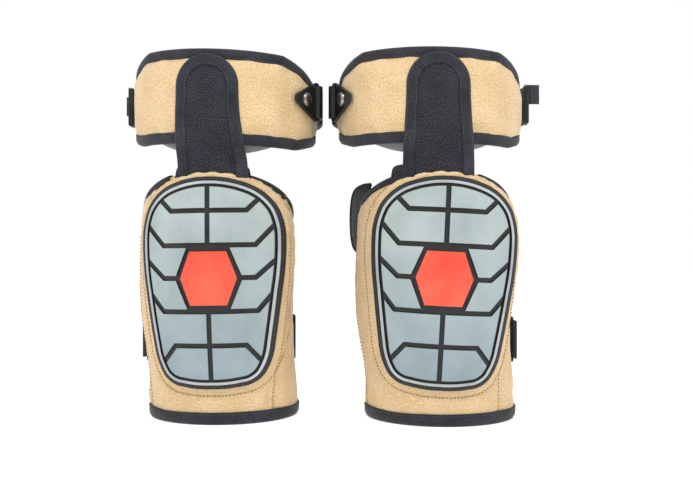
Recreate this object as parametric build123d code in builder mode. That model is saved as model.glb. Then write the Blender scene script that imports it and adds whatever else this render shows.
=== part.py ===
from build123d import *
from collections import namedtuple
from math import atan2, cos, degrees, hypot, radians, sin, sqrt
import os

# A pair of work knee pads standing side by side on their hems, as they are worn.
# +Z runs up the leg and each pad faces -Y. All sizes are in millimetres.
# Angles round the leg are measured from the front (-Y) towards +X.

# ---- the pair ----
CUFFS_APART = 39.0

# ---- leg wrap: the padded body that holds the shin and the knee ----
WRAP_HEIGHT = 272.0
WRAP_KNEE_RADIUS = 86.5
WRAP_HEM_TAPER = 3.5
WRAP_TOP_TAPER = 4.0
WRAP_KNEE_BELOW_TOP = 102.0
WRAP_STRAIGHT_HEIGHT = 60.0
WRAP_HALF_ANGLE = 112.0
SEAM_ANGLE = 62.0
TOP_EDGE_SLOPE = 23.0
FABRIC = 2.0
FOAM = 7.0
LINING = 1.5
HEM_TAPE_WIDTH = 13.0
TAPE_PROUD = 1.0
TAPE_WEB = 1.5
TOP_TAPE_WIDTH = 6.0
TOP_TAPE_START = 33.0

# ---- knee cap: a moulded shell on a padded pillow ----
CAP_BELOW_TOP = 121.0
CAP_HALF_HEIGHT = 112.0
CAP_WITHIN_WRAP = 8.5
BARREL_CENTRE_Y = -3.0
BARREL_STANDS_OFF = 8.5
BARREL_HEIGHT_RADIUS = 700.0
BARREL_FULLEST_BELOW_TOP = 92.0
CAP_BASE = 3.6
CAP_RELIEF = 2.2
FLANGE_WIDTH = 4.6
RING_WIDTH = 2.8
RING_GAP = 3.4
GROOVE_WIDTH = 5.4
BADGE_SHARE_ACROSS = 0.4615
BADGE_SHARE_UP = 0.3
BADGE_SHARE_HEIGHT = 0.048
PILLOW_MARGIN = 9.3

# Half of the cap's edge, from its top to its foot: shares of the widest half width and the half height.
CAP_EDGE = [
    (0.0, 1.0),
    (0.2869, 0.9823),
    (0.5628, 0.9255),
    (0.7704, 0.8331),
    (0.9099, 0.7099),
    (0.9757, 0.5744),
    (1.0, 0.4176),
    (0.9892, 0.1883),
    (0.9445, -0.0680),
    (0.8877, -0.3523),
    (0.8319, -0.6076),
    (0.7763, -0.7604),
    (0.6926, -0.8752),
    (0.5679, -0.9485),
    (0.4097, -0.9791),
    (0.2060, -0.9970),
    (0.0, -1.0),
]

# Groove lines of the cap, in the same shares: height, half length of the level run, the outer end.
CHEVRONS = [
    (0.6815, 0.5128, 0.7436, 0.8426),
    (0.3574, 0.6244, 0.9231, 0.5870),
    (0.0509, 0.6218, 0.9487, 0.2593),
    (-0.2620, 0.6410, 0.9231, -0.0259),
    (-0.5833, 0.4821, 0.7436, -0.8093),
]

# ---- side wings of spacer mesh ----
WING_LENGTH = 36.0
WING_HEIGHT = 80.0
WING_BELOW_TOP = 44.0
WING_THICK = 3.0

# ---- calf strap ----
CALF_STRAP_LOW = 58.0
CALF_STRAP_WIDTH = 52.0
CALF_STRAP_THICK = 2.5
CALF_STRAP_STANDS_OFF = 1.5
CALF_STRAP_END = 262.0
CALF_TAB_LENGTH = 26.0
HINGE_GAP = 0.4

# ---- knee strap: joins the wrap to the thigh cuff ----
STRAP_WIDTH = 74.0
STRAP_TAPE_WIDTH = 12.5
STRAP_THICK = 3.0
STRAP_ROOT_DEPTH = 22.0
STRAP_DRAPE = 15.0
ROOT_EASE = 2.2
STRAP_ROOT_ABOVE_TOP = 4.0
STRAP_HINGE_ABOVE_TOP = 8.0
STRAP_TOP_BELOW_CUFF = 5.0
LEAF_WIDTH = 84.0
LEAF_THICK = 2.4
LEAF_ABOVE_TOP = 5.0

# ---- thigh cuff ----
CUFF_ABOVE_WRAP = 27.0
CUFF_HEIGHT = 98.0
CUFF_RADIUS = 103.0
CUFF_AHEAD = 12.5
CUFF_HALF_ANGLE = 104.0
CUFF_FACE = 2.0
CUFF_FOAM = 8.0
CUFF_LINING = 1.5
CUFF_TAPE_WIDTH = 10.5
CUFF_TAPE_PROUD = 0.8
CUFF_LEVEL_RUN = 50.0
CUFF_TOP_SLOPE = 18.0
CUFF_LOW_SLOPE = 11.0
CUSHION_THICK = 9.0
CUSHION_HALF_ANGLE = 50.0
CUSHION_DROP = 12.0
CUSHION_TOP_INSET = 16.0

# ---- buckle: a riveted swivel plate, a clip on its bar, and the thigh strap ----
RIVET_ANGLE = 62.0
RIVET_ABOVE_CUFF_EDGE = 52.0
RIVET_SHANK = 3.0
RIVET_HEAD_RADIUS = 7.5
RIVET_HEAD_HEIGHT = 4.0
RIVET_FLANGE = 1.2
RIVET_COLLAR = 5.0
PLATE_STANDOFF = 2.0
PLATE_THICK = 3.4
PLATE_NOSE = 26.0
PLATE_TAIL = 28.0
PLATE_HALF_HEIGHT = 25.0
PLATE_CORNER = 6.0
PLATE_PLAY = 0.1
PLATE_BORE_CLEARANCE = 0.08
BAR_DEPTH = 5.0
BAR_WINDOW = 9.0
CLIP_WALL = 2.4
CLIP_CLEARANCE = 0.4
CLIP_HEIGHT = 36.0
CLIP_CHEEK = 0.8
CLIP_END = 84.0
THIGH_STRAP_WIDTH = 44.0
THIGH_STRAP_THICK = 3.0
THIGH_STRAP_STANDS_OFF = 4.5
THIGH_STRAP_GAP_ANGLE = 2.2
THIGH_STRAP_END = 275.0
STRAP_HEM_THICK = 2.4
STRAP_HEM_LENGTH = 20.0
TAB_HEIGHT = 22.0
TAB_LENGTH = 12.0
TAB_THICK = 4.0
TAB_SEAT = 2.0

# ---- what follows from the sizes above ----
LINING_DEPTH = FABRIC + FOAM
WRAP_DEPTH = LINING_DEPTH + LINING
WRAP_HEM_RADIUS = WRAP_KNEE_RADIUS - WRAP_HEM_TAPER
WRAP_TOP_RADIUS = WRAP_KNEE_RADIUS - WRAP_TOP_TAPER
WRAP_KNEE_HEIGHT = WRAP_HEIGHT - WRAP_KNEE_BELOW_TOP
CAP_HEIGHT_ABOVE_HEM = WRAP_HEIGHT - CAP_BELOW_TOP
CAP_WIDEST = WRAP_KNEE_RADIUS - CAP_WITHIN_WRAP
BADGE_HALF_WIDTH = BADGE_SHARE_ACROSS * CAP_WIDEST
BADGE_HALF_HEIGHT = BADGE_SHARE_UP * CAP_HALF_HEIGHT
BADGE_HEIGHT = BADGE_SHARE_HEIGHT * CAP_HALF_HEIGHT
BARREL_WRAP_RADIUS = WRAP_KNEE_RADIUS + BARREL_STANDS_OFF
BARREL_FULLEST_HEIGHT = WRAP_HEIGHT - BARREL_FULLEST_BELOW_TOP
WING_HIGH = WRAP_HEIGHT - WING_BELOW_TOP
WING_LOW = WING_HIGH - WING_HEIGHT
CALF_STRAP_RADIUS = WRAP_KNEE_RADIUS + CALF_STRAP_STANDS_OFF
ROOT_RADIUS = WRAP_TOP_RADIUS + ROOT_EASE + LEAF_THICK
STRAP_ROOT_LOW = WRAP_HEIGHT - STRAP_ROOT_DEPTH
STRAP_ROOT_TOP = WRAP_HEIGHT + STRAP_ROOT_ABOVE_TOP
STRAP_HINGE_Y = -ROOT_RADIUS - STRAP_THICK / 2
STRAP_HINGE_Z = WRAP_HEIGHT + STRAP_HINGE_ABOVE_TOP
LEAF_TOP = WRAP_HEIGHT + LEAF_ABOVE_TOP
CUFF_LOW = WRAP_HEIGHT + CUFF_ABOVE_WRAP
CUFF_HIGH = CUFF_LOW + CUFF_HEIGHT
CUFF_CENTRE_Y = CUFF_RADIUS - WRAP_TOP_RADIUS - CUFF_AHEAD
CUFF_SLOPE_FROM_Y = CUFF_CENTRE_Y - CUFF_RADIUS + CUFF_LEVEL_RUN
CUFF_INNER_RADIUS = CUFF_RADIUS - CUFF_FACE - CUFF_FOAM - CUFF_LINING
STRAP_TOP = CUFF_HIGH - STRAP_TOP_BELOW_CUFF
RIVET_HEIGHT = CUFF_LOW + RIVET_ABOVE_CUFF_EDGE
PLATE_INNER_RADIUS = CUFF_RADIUS + CUFF_TAPE_PROUD + PLATE_STANDOFF
THIGH_STRAP_RADIUS = CUFF_RADIUS + THIGH_STRAP_STANDS_OFF
THIGH_STRAP_START = CLIP_END + THIGH_STRAP_GAP_ANGLE
PAD_SPACING = 2 * CUFF_RADIUS + CUFFS_APART

# Each pad's own stance. hand is +1 where the buckle is on the +X side and -1 where it is on the
# -X side; the two pads are a mirrored pair. The soft pieces never sit quite alike, so each pad
# also has the roll of its cap, the sideways set of its cuff and the spread of its wings.
Pad = namedtuple(
    "Pad", "side centre_x hand cap_roll cuff_shift strap_shift leaf_turn flare_left flare_right lift_left tab_out"
)
PADS = [
    Pad("left", -PAD_SPACING / 2, 1, -0.8, 1.0, 1.0, 0.0, 8.0, 8.0, 0.0, False),
    Pad("right", PAD_SPACING / 2, -1, 2.8, -12.0, -5.0, -8.0, 62.0, 8.0, 34.0, True),
]



def spoke(angle, centre=(0, 0)):
    """The upright plane through a centre line, with its x axis pointing out at an angle."""
    out = radians(angle)
    return Plane(
        origin=(centre[0], centre[1], 0),
        x_dir=(sin(out), -cos(out), 0),
        z_dir=(-cos(out), -sin(out), 0),
    )


# ---------------------------------------------------------------- leg wrap

def wrap_curve(depth, low, high):
    """The wrap's side curve at a depth under its outer face, from low to high."""
    corner = (WRAP_HEM_RADIUS - depth, WRAP_STRAIGHT_HEIGHT)
    Line((WRAP_HEM_RADIUS - depth, low), corner)
    ThreePointArc(corner, (WRAP_KNEE_RADIUS - depth, WRAP_KNEE_HEIGHT), (WRAP_TOP_RADIUS - depth, high))


def wrap_band(outer_depth, inner_depth, start, end, low=TAPE_WEB, top_inset=0.0):
    """One layer of the wrap between two depths, turned from one angle to another."""
    with BuildPart() as band:
        with BuildSketch(spoke(start)):
            with BuildLine():
                wrap_curve(outer_depth, low, WRAP_HEIGHT)
                Line(
                    (WRAP_TOP_RADIUS - outer_depth, WRAP_HEIGHT),
                    (WRAP_TOP_RADIUS - inner_depth, WRAP_HEIGHT),
                )
                wrap_curve(inner_depth, low, WRAP_HEIGHT)
                Line((WRAP_HEM_RADIUS - outer_depth, low), (WRAP_HEM_RADIUS - inner_depth, low))
            make_face()
        revolve(axis=Axis.Z, revolution_arc=end - start)
        split(bisect_by=top_edge_plane(top_inset), keep=Keep.BOTTOM)
    return band


def wrap_core(depth):
    """Everything deeper in the wrap than a depth under its face, for cutting what lies on it."""
    with BuildPart() as core:
        with BuildSketch(Plane.XZ):
            with BuildLine():
                wrap_curve(depth, 0, WRAP_HEIGHT)
                over = WRAP_HEIGHT + PILLOW_MARGIN
                Polyline(
                    (WRAP_TOP_RADIUS - depth, WRAP_HEIGHT),
                    (WRAP_TOP_RADIUS - depth, over),
                    (0, over),
                    (0, 0),
                    (WRAP_HEM_RADIUS - depth, 0),
                )
            make_face()
        revolve(axis=Axis.Z)
    return core.part


def top_edge_plane(inset):
    """The plane of the wrap's top edge, which falls away from the front to the back."""
    slope = radians(TOP_EDGE_SLOPE)
    return Plane(
        origin=(0, -WRAP_TOP_RADIUS, WRAP_HEIGHT - inset / cos(slope)),
        x_dir=(1, 0, 0),
        z_dir=(0, sin(slope), cos(slope)),
    )


def upright_band(inner, outer, low, high, middle, half):
    """A plain curved band standing round the leg's axis, half an angle to each side of its middle."""
    with BuildPart() as band:
        with BuildSketch(spoke(middle - half)):
            with Locations((inner, low)):
                Rectangle(outer - inner, high - low, align=(Align.MIN, Align.MIN))
        revolve(axis=Axis.Z, revolution_arc=2 * half)
    return band


def strap_angles(pad):
    """The middle and half angle of the knee strap where it is sewn to the wrap."""
    reach = ROOT_RADIUS + STRAP_THICK
    return degrees(pad.strap_shift / reach), degrees(STRAP_WIDTH / 2 / reach)


def knee_strap_root(pad):
    """The lower stretch of the knee strap, sewn in behind the pillow."""
    middle, half = strap_angles(pad)
    return upright_band(ROOT_RADIUS, ROOT_RADIUS + STRAP_THICK, STRAP_ROOT_LOW, STRAP_ROOT_TOP, middle, half)


def back_leaf(pad):
    """The bound leaf behind the knee strap, standing up from the top of the wrap."""
    middle = strap_angles(pad)[0] + pad.leaf_turn
    half = degrees(LEAF_WIDTH / 2 / ROOT_RADIUS)
    return upright_band(ROOT_RADIUS - LEAF_THICK, ROOT_RADIUS, STRAP_ROOT_LOW, LEAF_TOP, middle, half)


def strap_pocket(pad):
    """The room behind the pillow that the sewn-in strap and leaf take up."""
    middle, half = strap_angles(pad)
    leaf_half = degrees(LEAF_WIDTH / 2 / ROOT_RADIUS)
    inner = WRAP_TOP_RADIUS / 2
    over = WRAP_HEIGHT + 2 * PILLOW_MARGIN
    with BuildPart() as pocket:
        add(upright_band(inner, ROOT_RADIUS + STRAP_THICK, STRAP_ROOT_LOW, over, middle, half).part)
        add(upright_band(inner, ROOT_RADIUS, STRAP_ROOT_LOW, over, middle + pad.leaf_turn, leaf_half).part)
    return pocket.part


def front_cover(pad, cushion):
    """The face fabric of the front: the wrap between the seams, and the pillow's skin."""
    with BuildPart() as cover:
        add(pillow(pad, PILLOW_MARGIN, 0, FABRIC / 2))
        add(cushion.part, mode=Mode.SUBTRACT)
        add(strap_pocket(pad), mode=Mode.SUBTRACT)
        add(wrap_band(0, FABRIC, -SEAM_ANGLE, SEAM_ANGLE, top_inset=TAPE_WEB).part)
    return cover


def gusset(cover, start, end):
    """A side panel of the wrap, from the seam round to the back edge, let in under the pillow's skin."""
    with BuildPart() as panel:
        add(wrap_band(0, FABRIC, start, end, top_inset=TAPE_WEB).part)
        add(cover.part, mode=Mode.SUBTRACT)
    return panel


def knee_cushion(pad):
    """The foam cushion that fills the pillow behind the cap."""
    with BuildPart() as cushion:
        add(pillow(pad, PILLOW_MARGIN - FABRIC, FABRIC, 0))
        add(strap_pocket(pad), mode=Mode.SUBTRACT)
    return cushion


def hem_binding(pad):
    """Tape folded round the hem: an outer leg, an inner leg and the web under the edge."""
    half = WRAP_HALF_ANGLE
    with BuildPart() as tape:
        with BuildSketch(spoke(-half)):
            with Locations((WRAP_HEM_RADIUS + TAPE_PROUD, 0)):
                Rectangle(WRAP_DEPTH + 2 * TAPE_PROUD, HEM_TAPE_WIDTH, align=(Align.MAX, Align.MIN))
            with Locations((WRAP_HEM_RADIUS, TAPE_WEB)):
                Rectangle(WRAP_DEPTH, HEM_TAPE_WIDTH, align=(Align.MAX, Align.MIN), mode=Mode.SUBTRACT)
        revolve(axis=Axis.Z, revolution_arc=2 * half)
    return tape


def top_binding(pad):
    """Tape folded over the wrap's top edge, in two lengths, one each side of the knee strap."""
    full = WRAP_HALF_ANGLE
    with BuildPart() as tape:
        for start, end in ((-full, -TOP_TAPE_START), (TOP_TAPE_START, full)):
            add(wrap_band(-TAPE_PROUD, WRAP_DEPTH + TAPE_PROUD, start, end).part)
            add(wrap_band(0, WRAP_DEPTH, start, end, top_inset=TAPE_WEB).part, mode=Mode.SUBTRACT)
        split(bisect_by=top_edge_plane(TOP_TAPE_WIDTH), keep=Keep.TOP)
        add(pillow(pad, PILLOW_MARGIN, 0, 0), mode=Mode.SUBTRACT)
        add(back_leaf(pad).part, mode=Mode.SUBTRACT)
        add(knee_strap_root(pad).part, mode=Mode.SUBTRACT)
    return tape


def wing(sign, flare, lift):
    """A D-shaped flap of spacer mesh, sewn along the wrap's back edge, spread by flare and set up by lift."""
    edge = radians(WRAP_HALF_ANGLE)
    root = WRAP_HEM_RADIUS - WRAP_DEPTH / 2
    turn = radians(WRAP_HALF_ANGLE - 90 - flare)
    heading = (-sign * sin(turn), cos(turn), 0)
    plane = Plane(
        origin=(sign * root * sin(edge), -root * cos(edge), (WING_LOW + WING_HIGH) / 2 + lift),
        x_dir=heading,
        z_dir=(heading[1], -heading[0], 0),
    )
    half = (WING_HIGH - WING_LOW) / 2
    with BuildPart() as flap:
        with BuildSketch(plane.offset(-WING_THICK / 2)):
            with BuildLine():
                Line((-WING_THICK, -half), (-WING_THICK, half))
                Line((-WING_THICK, half), (WING_LENGTH / 2, half))
                ThreePointArc((WING_LENGTH / 2, half), (WING_LENGTH, 0), (WING_LENGTH / 2, -half))
                Line((WING_LENGTH / 2, -half), (-WING_THICK, -half))
            make_face()
        extrude(amount=WING_THICK)
        split(bisect_by=spoke(sign * WRAP_HALF_ANGLE), keep=Keep.BOTTOM if sign > 0 else Keep.TOP)
    return flap


# ---------------------------------------------------------------- knee cap

def cap_plane(pad):
    """The plane the cap is drawn on, in front of the knee and rolled with the cap."""
    roll = radians(pad.cap_roll)
    return Plane(
        origin=(0, -150, CAP_HEIGHT_ABOVE_HEM),
        x_dir=(cos(roll), 0, -sin(roll)),
        z_dir=(0, -1, 0),
    )


def on_cap(across, up):
    """A point of the cap's drawing, given as shares of its widest half width and its half height."""
    return (across * CAP_WIDEST, up * CAP_HALF_HEIGHT)


def cap_outline(margin):
    """The egg-shaped outline of the cap, grown or shrunk by a margin."""
    corners = [on_cap(across, up) for across, up in CAP_EDGE]
    with BuildSketch() as outline:
        with BuildLine():
            for first in range(0, len(corners) - 1, 2):
                ThreePointArc(corners[first], corners[first + 1], corners[first + 2])
            mirror(about=Plane.YZ)
        make_face()
        if margin:
            offset(amount=margin, mode=Mode.REPLACE)
    return outline.sketch


def barrel(under, over):
    """The cap's curved shell between two heights over the pillow, or a whole core below one."""
    outer = BARREL_WRAP_RADIUS + over
    inner = BARREL_WRAP_RADIUS + under if under is not None else 0
    high = 2 * CAP_HALF_HEIGHT
    low = -high
    sag = BARREL_HEIGHT_RADIUS - sqrt(BARREL_HEIGHT_RADIUS ** 2 - high ** 2)
    profile = Plane((0, BARREL_CENTRE_Y, BARREL_FULLEST_HEIGHT), x_dir=(0, -1, 0), z_dir=(-1, 0, 0))
    with BuildPart() as shell:
        with BuildSketch(profile):
            with BuildLine():
                ThreePointArc((outer - sag, low), (outer, 0), (outer - sag, high))
                if under is None:
                    Polyline((outer - sag, high), (0, high), (0, low), (outer - sag, low))
                else:
                    Line((outer - sag, high), (inner - sag, high))
                    ThreePointArc((inner - sag, high), (inner, 0), (inner - sag, low))
                    Line((inner - sag, low), (outer - sag, low))
            make_face()
        revolve(axis=Axis((0, BARREL_CENTRE_Y, 0), (0, 0, 1)))
    return shell.part


def pillow(pad, margin, depth, seat):
    """The padded pillow under the cap, from a depth in the wrap to a depth under the cap's underside."""
    with BuildPart() as body:
        with BuildSketch(cap_plane(pad)):
            add(cap_outline(margin))
        extrude(amount=-150)
        add(barrel(None, -depth), mode=Mode.INTERSECT)
        add(wrap_core(seat), mode=Mode.SUBTRACT)
    return body.part


def cap_base(pad):
    """The black moulded shell of the cap, with the sewing flange round its edge."""
    with BuildPart() as base:
        with BuildSketch(cap_plane(pad)):
            add(cap_outline(0))
        extrude(amount=-150)
        add(barrel(0, CAP_BASE), mode=Mode.INTERSECT)
    return base


def cap_ring(pad):
    """The light line moulded round the cap inside its flange."""
    with BuildPart() as ring:
        with BuildSketch(cap_plane(pad)):
            add(cap_outline(-FLANGE_WIDTH))
            add(cap_outline(-FLANGE_WIDTH - RING_WIDTH), mode=Mode.SUBTRACT)
        extrude(amount=-150)
        add(barrel(CAP_BASE, CAP_BASE + CAP_RELIEF), mode=Mode.INTERSECT)
    return ring


def groove(start, end):
    """Cut one groove of the cap's pattern from the sketch in hand."""
    run = (end[0] - start[0], end[1] - start[1])
    middle = ((start[0] + end[0]) / 2, (start[1] + end[1]) / 2)
    with Locations(middle):
        SlotCenterToCenter(
            hypot(*run), GROOVE_WIDTH, rotation=degrees(atan2(run[1], run[0])), mode=Mode.SUBTRACT
        )


def badge_points(grow):
    """The corners of the plain six-sided badge, grown all round."""
    wide = BADGE_HALF_WIDTH + grow * 1.15
    tall = BADGE_HALF_HEIGHT + grow
    level = BADGE_HALF_WIDTH * 0.62 + grow * 0.55
    corners = [(level, tall), (wide, 0), (level, -tall), (-level, -tall), (-wide, 0), (-level, tall)]
    return [(x, z + BADGE_HEIGHT) for x, z in corners]


def cap_panels(pad):
    """The raised grey panels between the grooves: twelve separate pieces."""
    with BuildPart() as panels:
        with BuildSketch(cap_plane(pad)):
            add(cap_outline(-FLANGE_WIDTH - RING_WIDTH - RING_GAP))
            for height, level, out, end in CHEVRONS:
                groove(on_cap(-level, height), on_cap(level, height))
                groove(on_cap(level, height), on_cap(out, end))
                groove(on_cap(-level, height), on_cap(-out, end))
            groove(on_cap(0, 1), on_cap(0, CHEVRONS[1][0]))
            groove(on_cap(0, -1), (0, BADGE_HEIGHT))
            with BuildLine(mode=Mode.PRIVATE) as plaque:
                Polyline(*badge_points(0), close=True)
            make_face(plaque.line.edges(), mode=Mode.SUBTRACT)
        extrude(amount=-150)
        add(barrel(CAP_BASE, CAP_BASE + CAP_RELIEF), mode=Mode.INTERSECT)
    return panels


def cap_badge(pad):
    """The plain red badge let into the middle of the cap."""
    with BuildPart() as badge:
        with BuildSketch(cap_plane(pad)):
            with BuildLine():
                Polyline(*badge_points(-GROOVE_WIDTH), close=True)
            make_face()
        extrude(amount=-150)
        add(barrel(CAP_BASE, CAP_BASE + CAP_RELIEF), mode=Mode.INTERSECT)
    return badge


# ---------------------------------------------------------------- calf strap

def calf_strap(pad):
    """The elastic calf strap, from its sewn end round the back to the far side."""
    start = WRAP_HALF_ANGLE + 3
    with BuildPart() as strap:
        with BuildSketch(spoke(start)):
            with Locations((CALF_STRAP_RADIUS, CALF_STRAP_LOW)):
                Rectangle(CALF_STRAP_THICK, CALF_STRAP_WIDTH, align=(Align.MIN, Align.MIN))
        revolve(axis=Axis.Z, revolution_arc=CALF_STRAP_END - start)
        if pad.hand < 0:
            mirror(about=Plane.YZ, mode=Mode.REPLACE)
    return strap


def calf_strap_tab(pad):
    """The hook-and-loop end tab on the outside of the calf strap."""
    outside = CALF_STRAP_RADIUS + CALF_STRAP_THICK
    span = degrees(CALF_TAB_LENGTH / outside)
    with BuildPart() as tab:
        with BuildSketch(spoke(CALF_STRAP_END - span)):
            with Locations((outside, CALF_STRAP_LOW + CALF_STRAP_WIDTH / 2)):
                Rectangle(CALF_STRAP_THICK, CALF_STRAP_WIDTH - 8, align=(Align.MIN, Align.CENTER))
        revolve(axis=Axis.Z, revolution_arc=span + 4)
        if pad.hand < 0:
            mirror(about=Plane.YZ, mode=Mode.REPLACE)
    return tab


# ---------------------------------------------------------------- thigh cuff

def cuff_axis(pad):
    """The upright centre line of the cuff."""
    return Axis((pad.cuff_shift, CUFF_CENTRE_Y, 0), (0, 0, 1))


def cuff_edge_plane(height, slope, inset):
    """A sloping edge of the cuff's side, hinged where the level front run ends."""
    tilt = radians(slope)
    return Plane(
        origin=(0, CUFF_SLOPE_FROM_Y, height - inset / cos(tilt)),
        x_dir=(1, 0, 0),
        z_dir=(0, sin(tilt), cos(tilt)),
    )


def cuff_band(pad, inner, outer, inset):
    """One layer of the cuff between two radii, drawn in from the cuff's edges by an inset."""
    half = CUFF_HALF_ANGLE - degrees(inset / CUFF_RADIUS)
    with BuildPart() as band:
        with BuildSketch(spoke(-half, (pad.cuff_shift, CUFF_CENTRE_Y))):
            with Locations((inner, CUFF_LOW + inset)):
                Rectangle(
                    outer - inner, CUFF_HIGH - CUFF_LOW - 2 * inset, align=(Align.MIN, Align.MIN)
                )
        revolve(axis=cuff_axis(pad), revolution_arc=2 * half)
        split(bisect_by=cuff_edge_plane(CUFF_HIGH, CUFF_TOP_SLOPE, inset), keep=Keep.BOTTOM)
        split(bisect_by=cuff_edge_plane(CUFF_LOW, -CUFF_LOW_SLOPE, -inset), keep=Keep.TOP)
    return band


def cuff_binding(pad):
    """Tape folded round the whole edge of the cuff."""
    proud = CUFF_TAPE_PROUD
    inner = CUFF_INNER_RADIUS
    window = cuff_band(pad, inner - 2 * proud, CUFF_RADIUS + 2 * proud, CUFF_TAPE_WIDTH)
    with BuildPart() as tape:
        add(cuff_band(pad, inner - proud, CUFF_RADIUS + proud, 0).part)
        add(cuff_band(pad, inner, CUFF_RADIUS, TAPE_WEB).part, mode=Mode.SUBTRACT)
        add(window.part, mode=Mode.SUBTRACT)
    return tape


def cuff_cushion(pad):
    """The smooth inner cushion, which bows out below the cuff's lower edge."""
    outer = CUFF_INNER_RADIUS - CUFF_TAPE_PROUD
    low = CUFF_LOW - CUSHION_DROP
    half = CUSHION_HALF_ANGLE
    reach = outer * sin(radians(half))
    with BuildPart() as cushion:
        with BuildSketch(spoke(-half, (pad.cuff_shift, CUFF_CENTRE_Y))):
            with Locations((outer, low)):
                Rectangle(
                    CUSHION_THICK, CUFF_HIGH - CUSHION_TOP_INSET - low, align=(Align.MAX, Align.MIN)
                )
        revolve(axis=cuff_axis(pad), revolution_arc=2 * half)
        split(bisect_by=cuff_edge_plane(CUFF_HIGH, CUFF_TOP_SLOPE, CUSHION_TOP_INSET), keep=Keep.BOTTOM)
        with BuildSketch(Plane.XZ.offset(CUFF_RADIUS)):
            with BuildLine():
                ThreePointArc(
                    (pad.cuff_shift - reach, CUFF_LOW + 4),
                    (pad.cuff_shift, low),
                    (pad.cuff_shift + reach, CUFF_LOW + 4),
                )
                Polyline(
                    (pad.cuff_shift + reach, CUFF_LOW + 4),
                    (pad.cuff_shift + reach, CUFF_HIGH),
                    (pad.cuff_shift - reach, CUFF_HIGH),
                    (pad.cuff_shift - reach, CUFF_LOW + 4),
                )
            make_face()
        extrude(amount=-2 * CUFF_RADIUS, mode=Mode.INTERSECT)
    return cushion


def strap_slab(pad, inset):
    """The knee strap from its bending edge up the cuff's face, drawn in from its edges by an inset."""
    over = CUFF_RADIUS + CUFF_TAPE_PROUD
    front_y = CUFF_CENTRE_Y - over
    start = STRAP_HINGE_Z + STRAP_THICK / 2 + HINGE_GAP
    crown = STRAP_TOP - STRAP_WIDTH / 2
    half = STRAP_WIDTH / 2 - inset
    with BuildPart() as slab:
        with BuildSketch(Plane.XY.offset(CUFF_LOW)):
            with Locations((pad.cuff_shift, CUFF_CENTRE_Y)):
                Circle(over + STRAP_THICK)
                Circle(over, mode=Mode.SUBTRACT)
        extrude(amount=STRAP_TOP - CUFF_LOW)
        with BuildSketch(Plane.YZ.offset(pad.strap_shift - STRAP_WIDTH / 2)):
            with BuildLine():
                Polyline(
                    (STRAP_HINGE_Y + STRAP_THICK / 2, start),
                    (STRAP_HINGE_Y - STRAP_THICK / 2, start),
                    (front_y - STRAP_THICK, CUFF_LOW),
                    (front_y + STRAP_DRAPE, CUFF_LOW),
                    close=True,
                )
            make_face()
        extrude(amount=STRAP_WIDTH)
        with BuildSketch(Plane.XZ):
            with Locations((pad.strap_shift, start)):
                Rectangle(2 * half, crown - start, align=(Align.CENTER, Align.MIN))
            with Locations((pad.strap_shift, crown)):
                Circle(half)
        extrude(amount=2 * CUFF_RADIUS, mode=Mode.INTERSECT)
        add(cuff_cushion(pad).part, mode=Mode.SUBTRACT)
    return slab


def knee_strap(pad):
    """The webbing panel in the middle of the knee strap."""
    return strap_slab(pad, STRAP_TAPE_WIDTH)


def knee_strap_binding(pad):
    """The tape border of the knee strap, down both sides and round its top."""
    with BuildPart() as border:
        add(strap_slab(pad, 0).part)
        add(strap_slab(pad, STRAP_TAPE_WIDTH).part, mode=Mode.SUBTRACT)
    return border


# ---------------------------------------------------------------- buckle and thigh strap

def rivet_plane(pad, reach):
    """The plane square to the rivet, at a distance from the cuff's axis; its x axis runs backward."""
    out = radians(RIVET_ANGLE)
    radial = (pad.hand * sin(out), -cos(out), 0)
    return Plane(
        origin=(pad.cuff_shift + reach * radial[0], CUFF_CENTRE_Y + reach * radial[1], RIVET_HEIGHT),
        x_dir=(pad.hand * cos(out), sin(out), 0),
        z_dir=radial,
    )


def rivet(pad):
    """The rivet: a domed head over the plate, a collar under it, and a flange inside the cuff."""
    plate_outer = PLATE_INNER_RADIUS + PLATE_THICK + PLATE_PLAY
    flange = CUFF_INNER_RADIUS - RIVET_FLANGE
    with BuildPart() as pin:
        with BuildSketch(rivet_plane(pad, flange)):
            Circle(RIVET_HEAD_RADIUS)
        extrude(amount=RIVET_FLANGE)
        with BuildSketch(rivet_plane(pad, flange)):
            Circle(RIVET_SHANK)
        extrude(amount=plate_outer - flange)
        with BuildSketch(rivet_plane(pad, CUFF_RADIUS)):
            Circle(RIVET_COLLAR)
        extrude(amount=PLATE_INNER_RADIUS - PLATE_PLAY - CUFF_RADIUS)
        with BuildSketch(rivet_plane(pad, plate_outer)):
            Circle(RIVET_HEAD_RADIUS)
        extrude(amount=RIVET_HEAD_HEIGHT)
        crown = pin.faces().sort_by(Axis(rivet_plane(pad, 0).origin, rivet_plane(pad, 0).z_dir))[-1]
        fillet(crown.edges(), RIVET_HEAD_HEIGHT * 0.8)
    return pin


def cuff_layer(pad, inner, outer, inset):
    """A layer of the cuff with the rivet's hole through it."""
    with BuildPart() as layer:
        add(cuff_band(pad, inner, outer, inset).part)
        add(rivet(pad).part, mode=Mode.SUBTRACT)
    return layer


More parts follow.
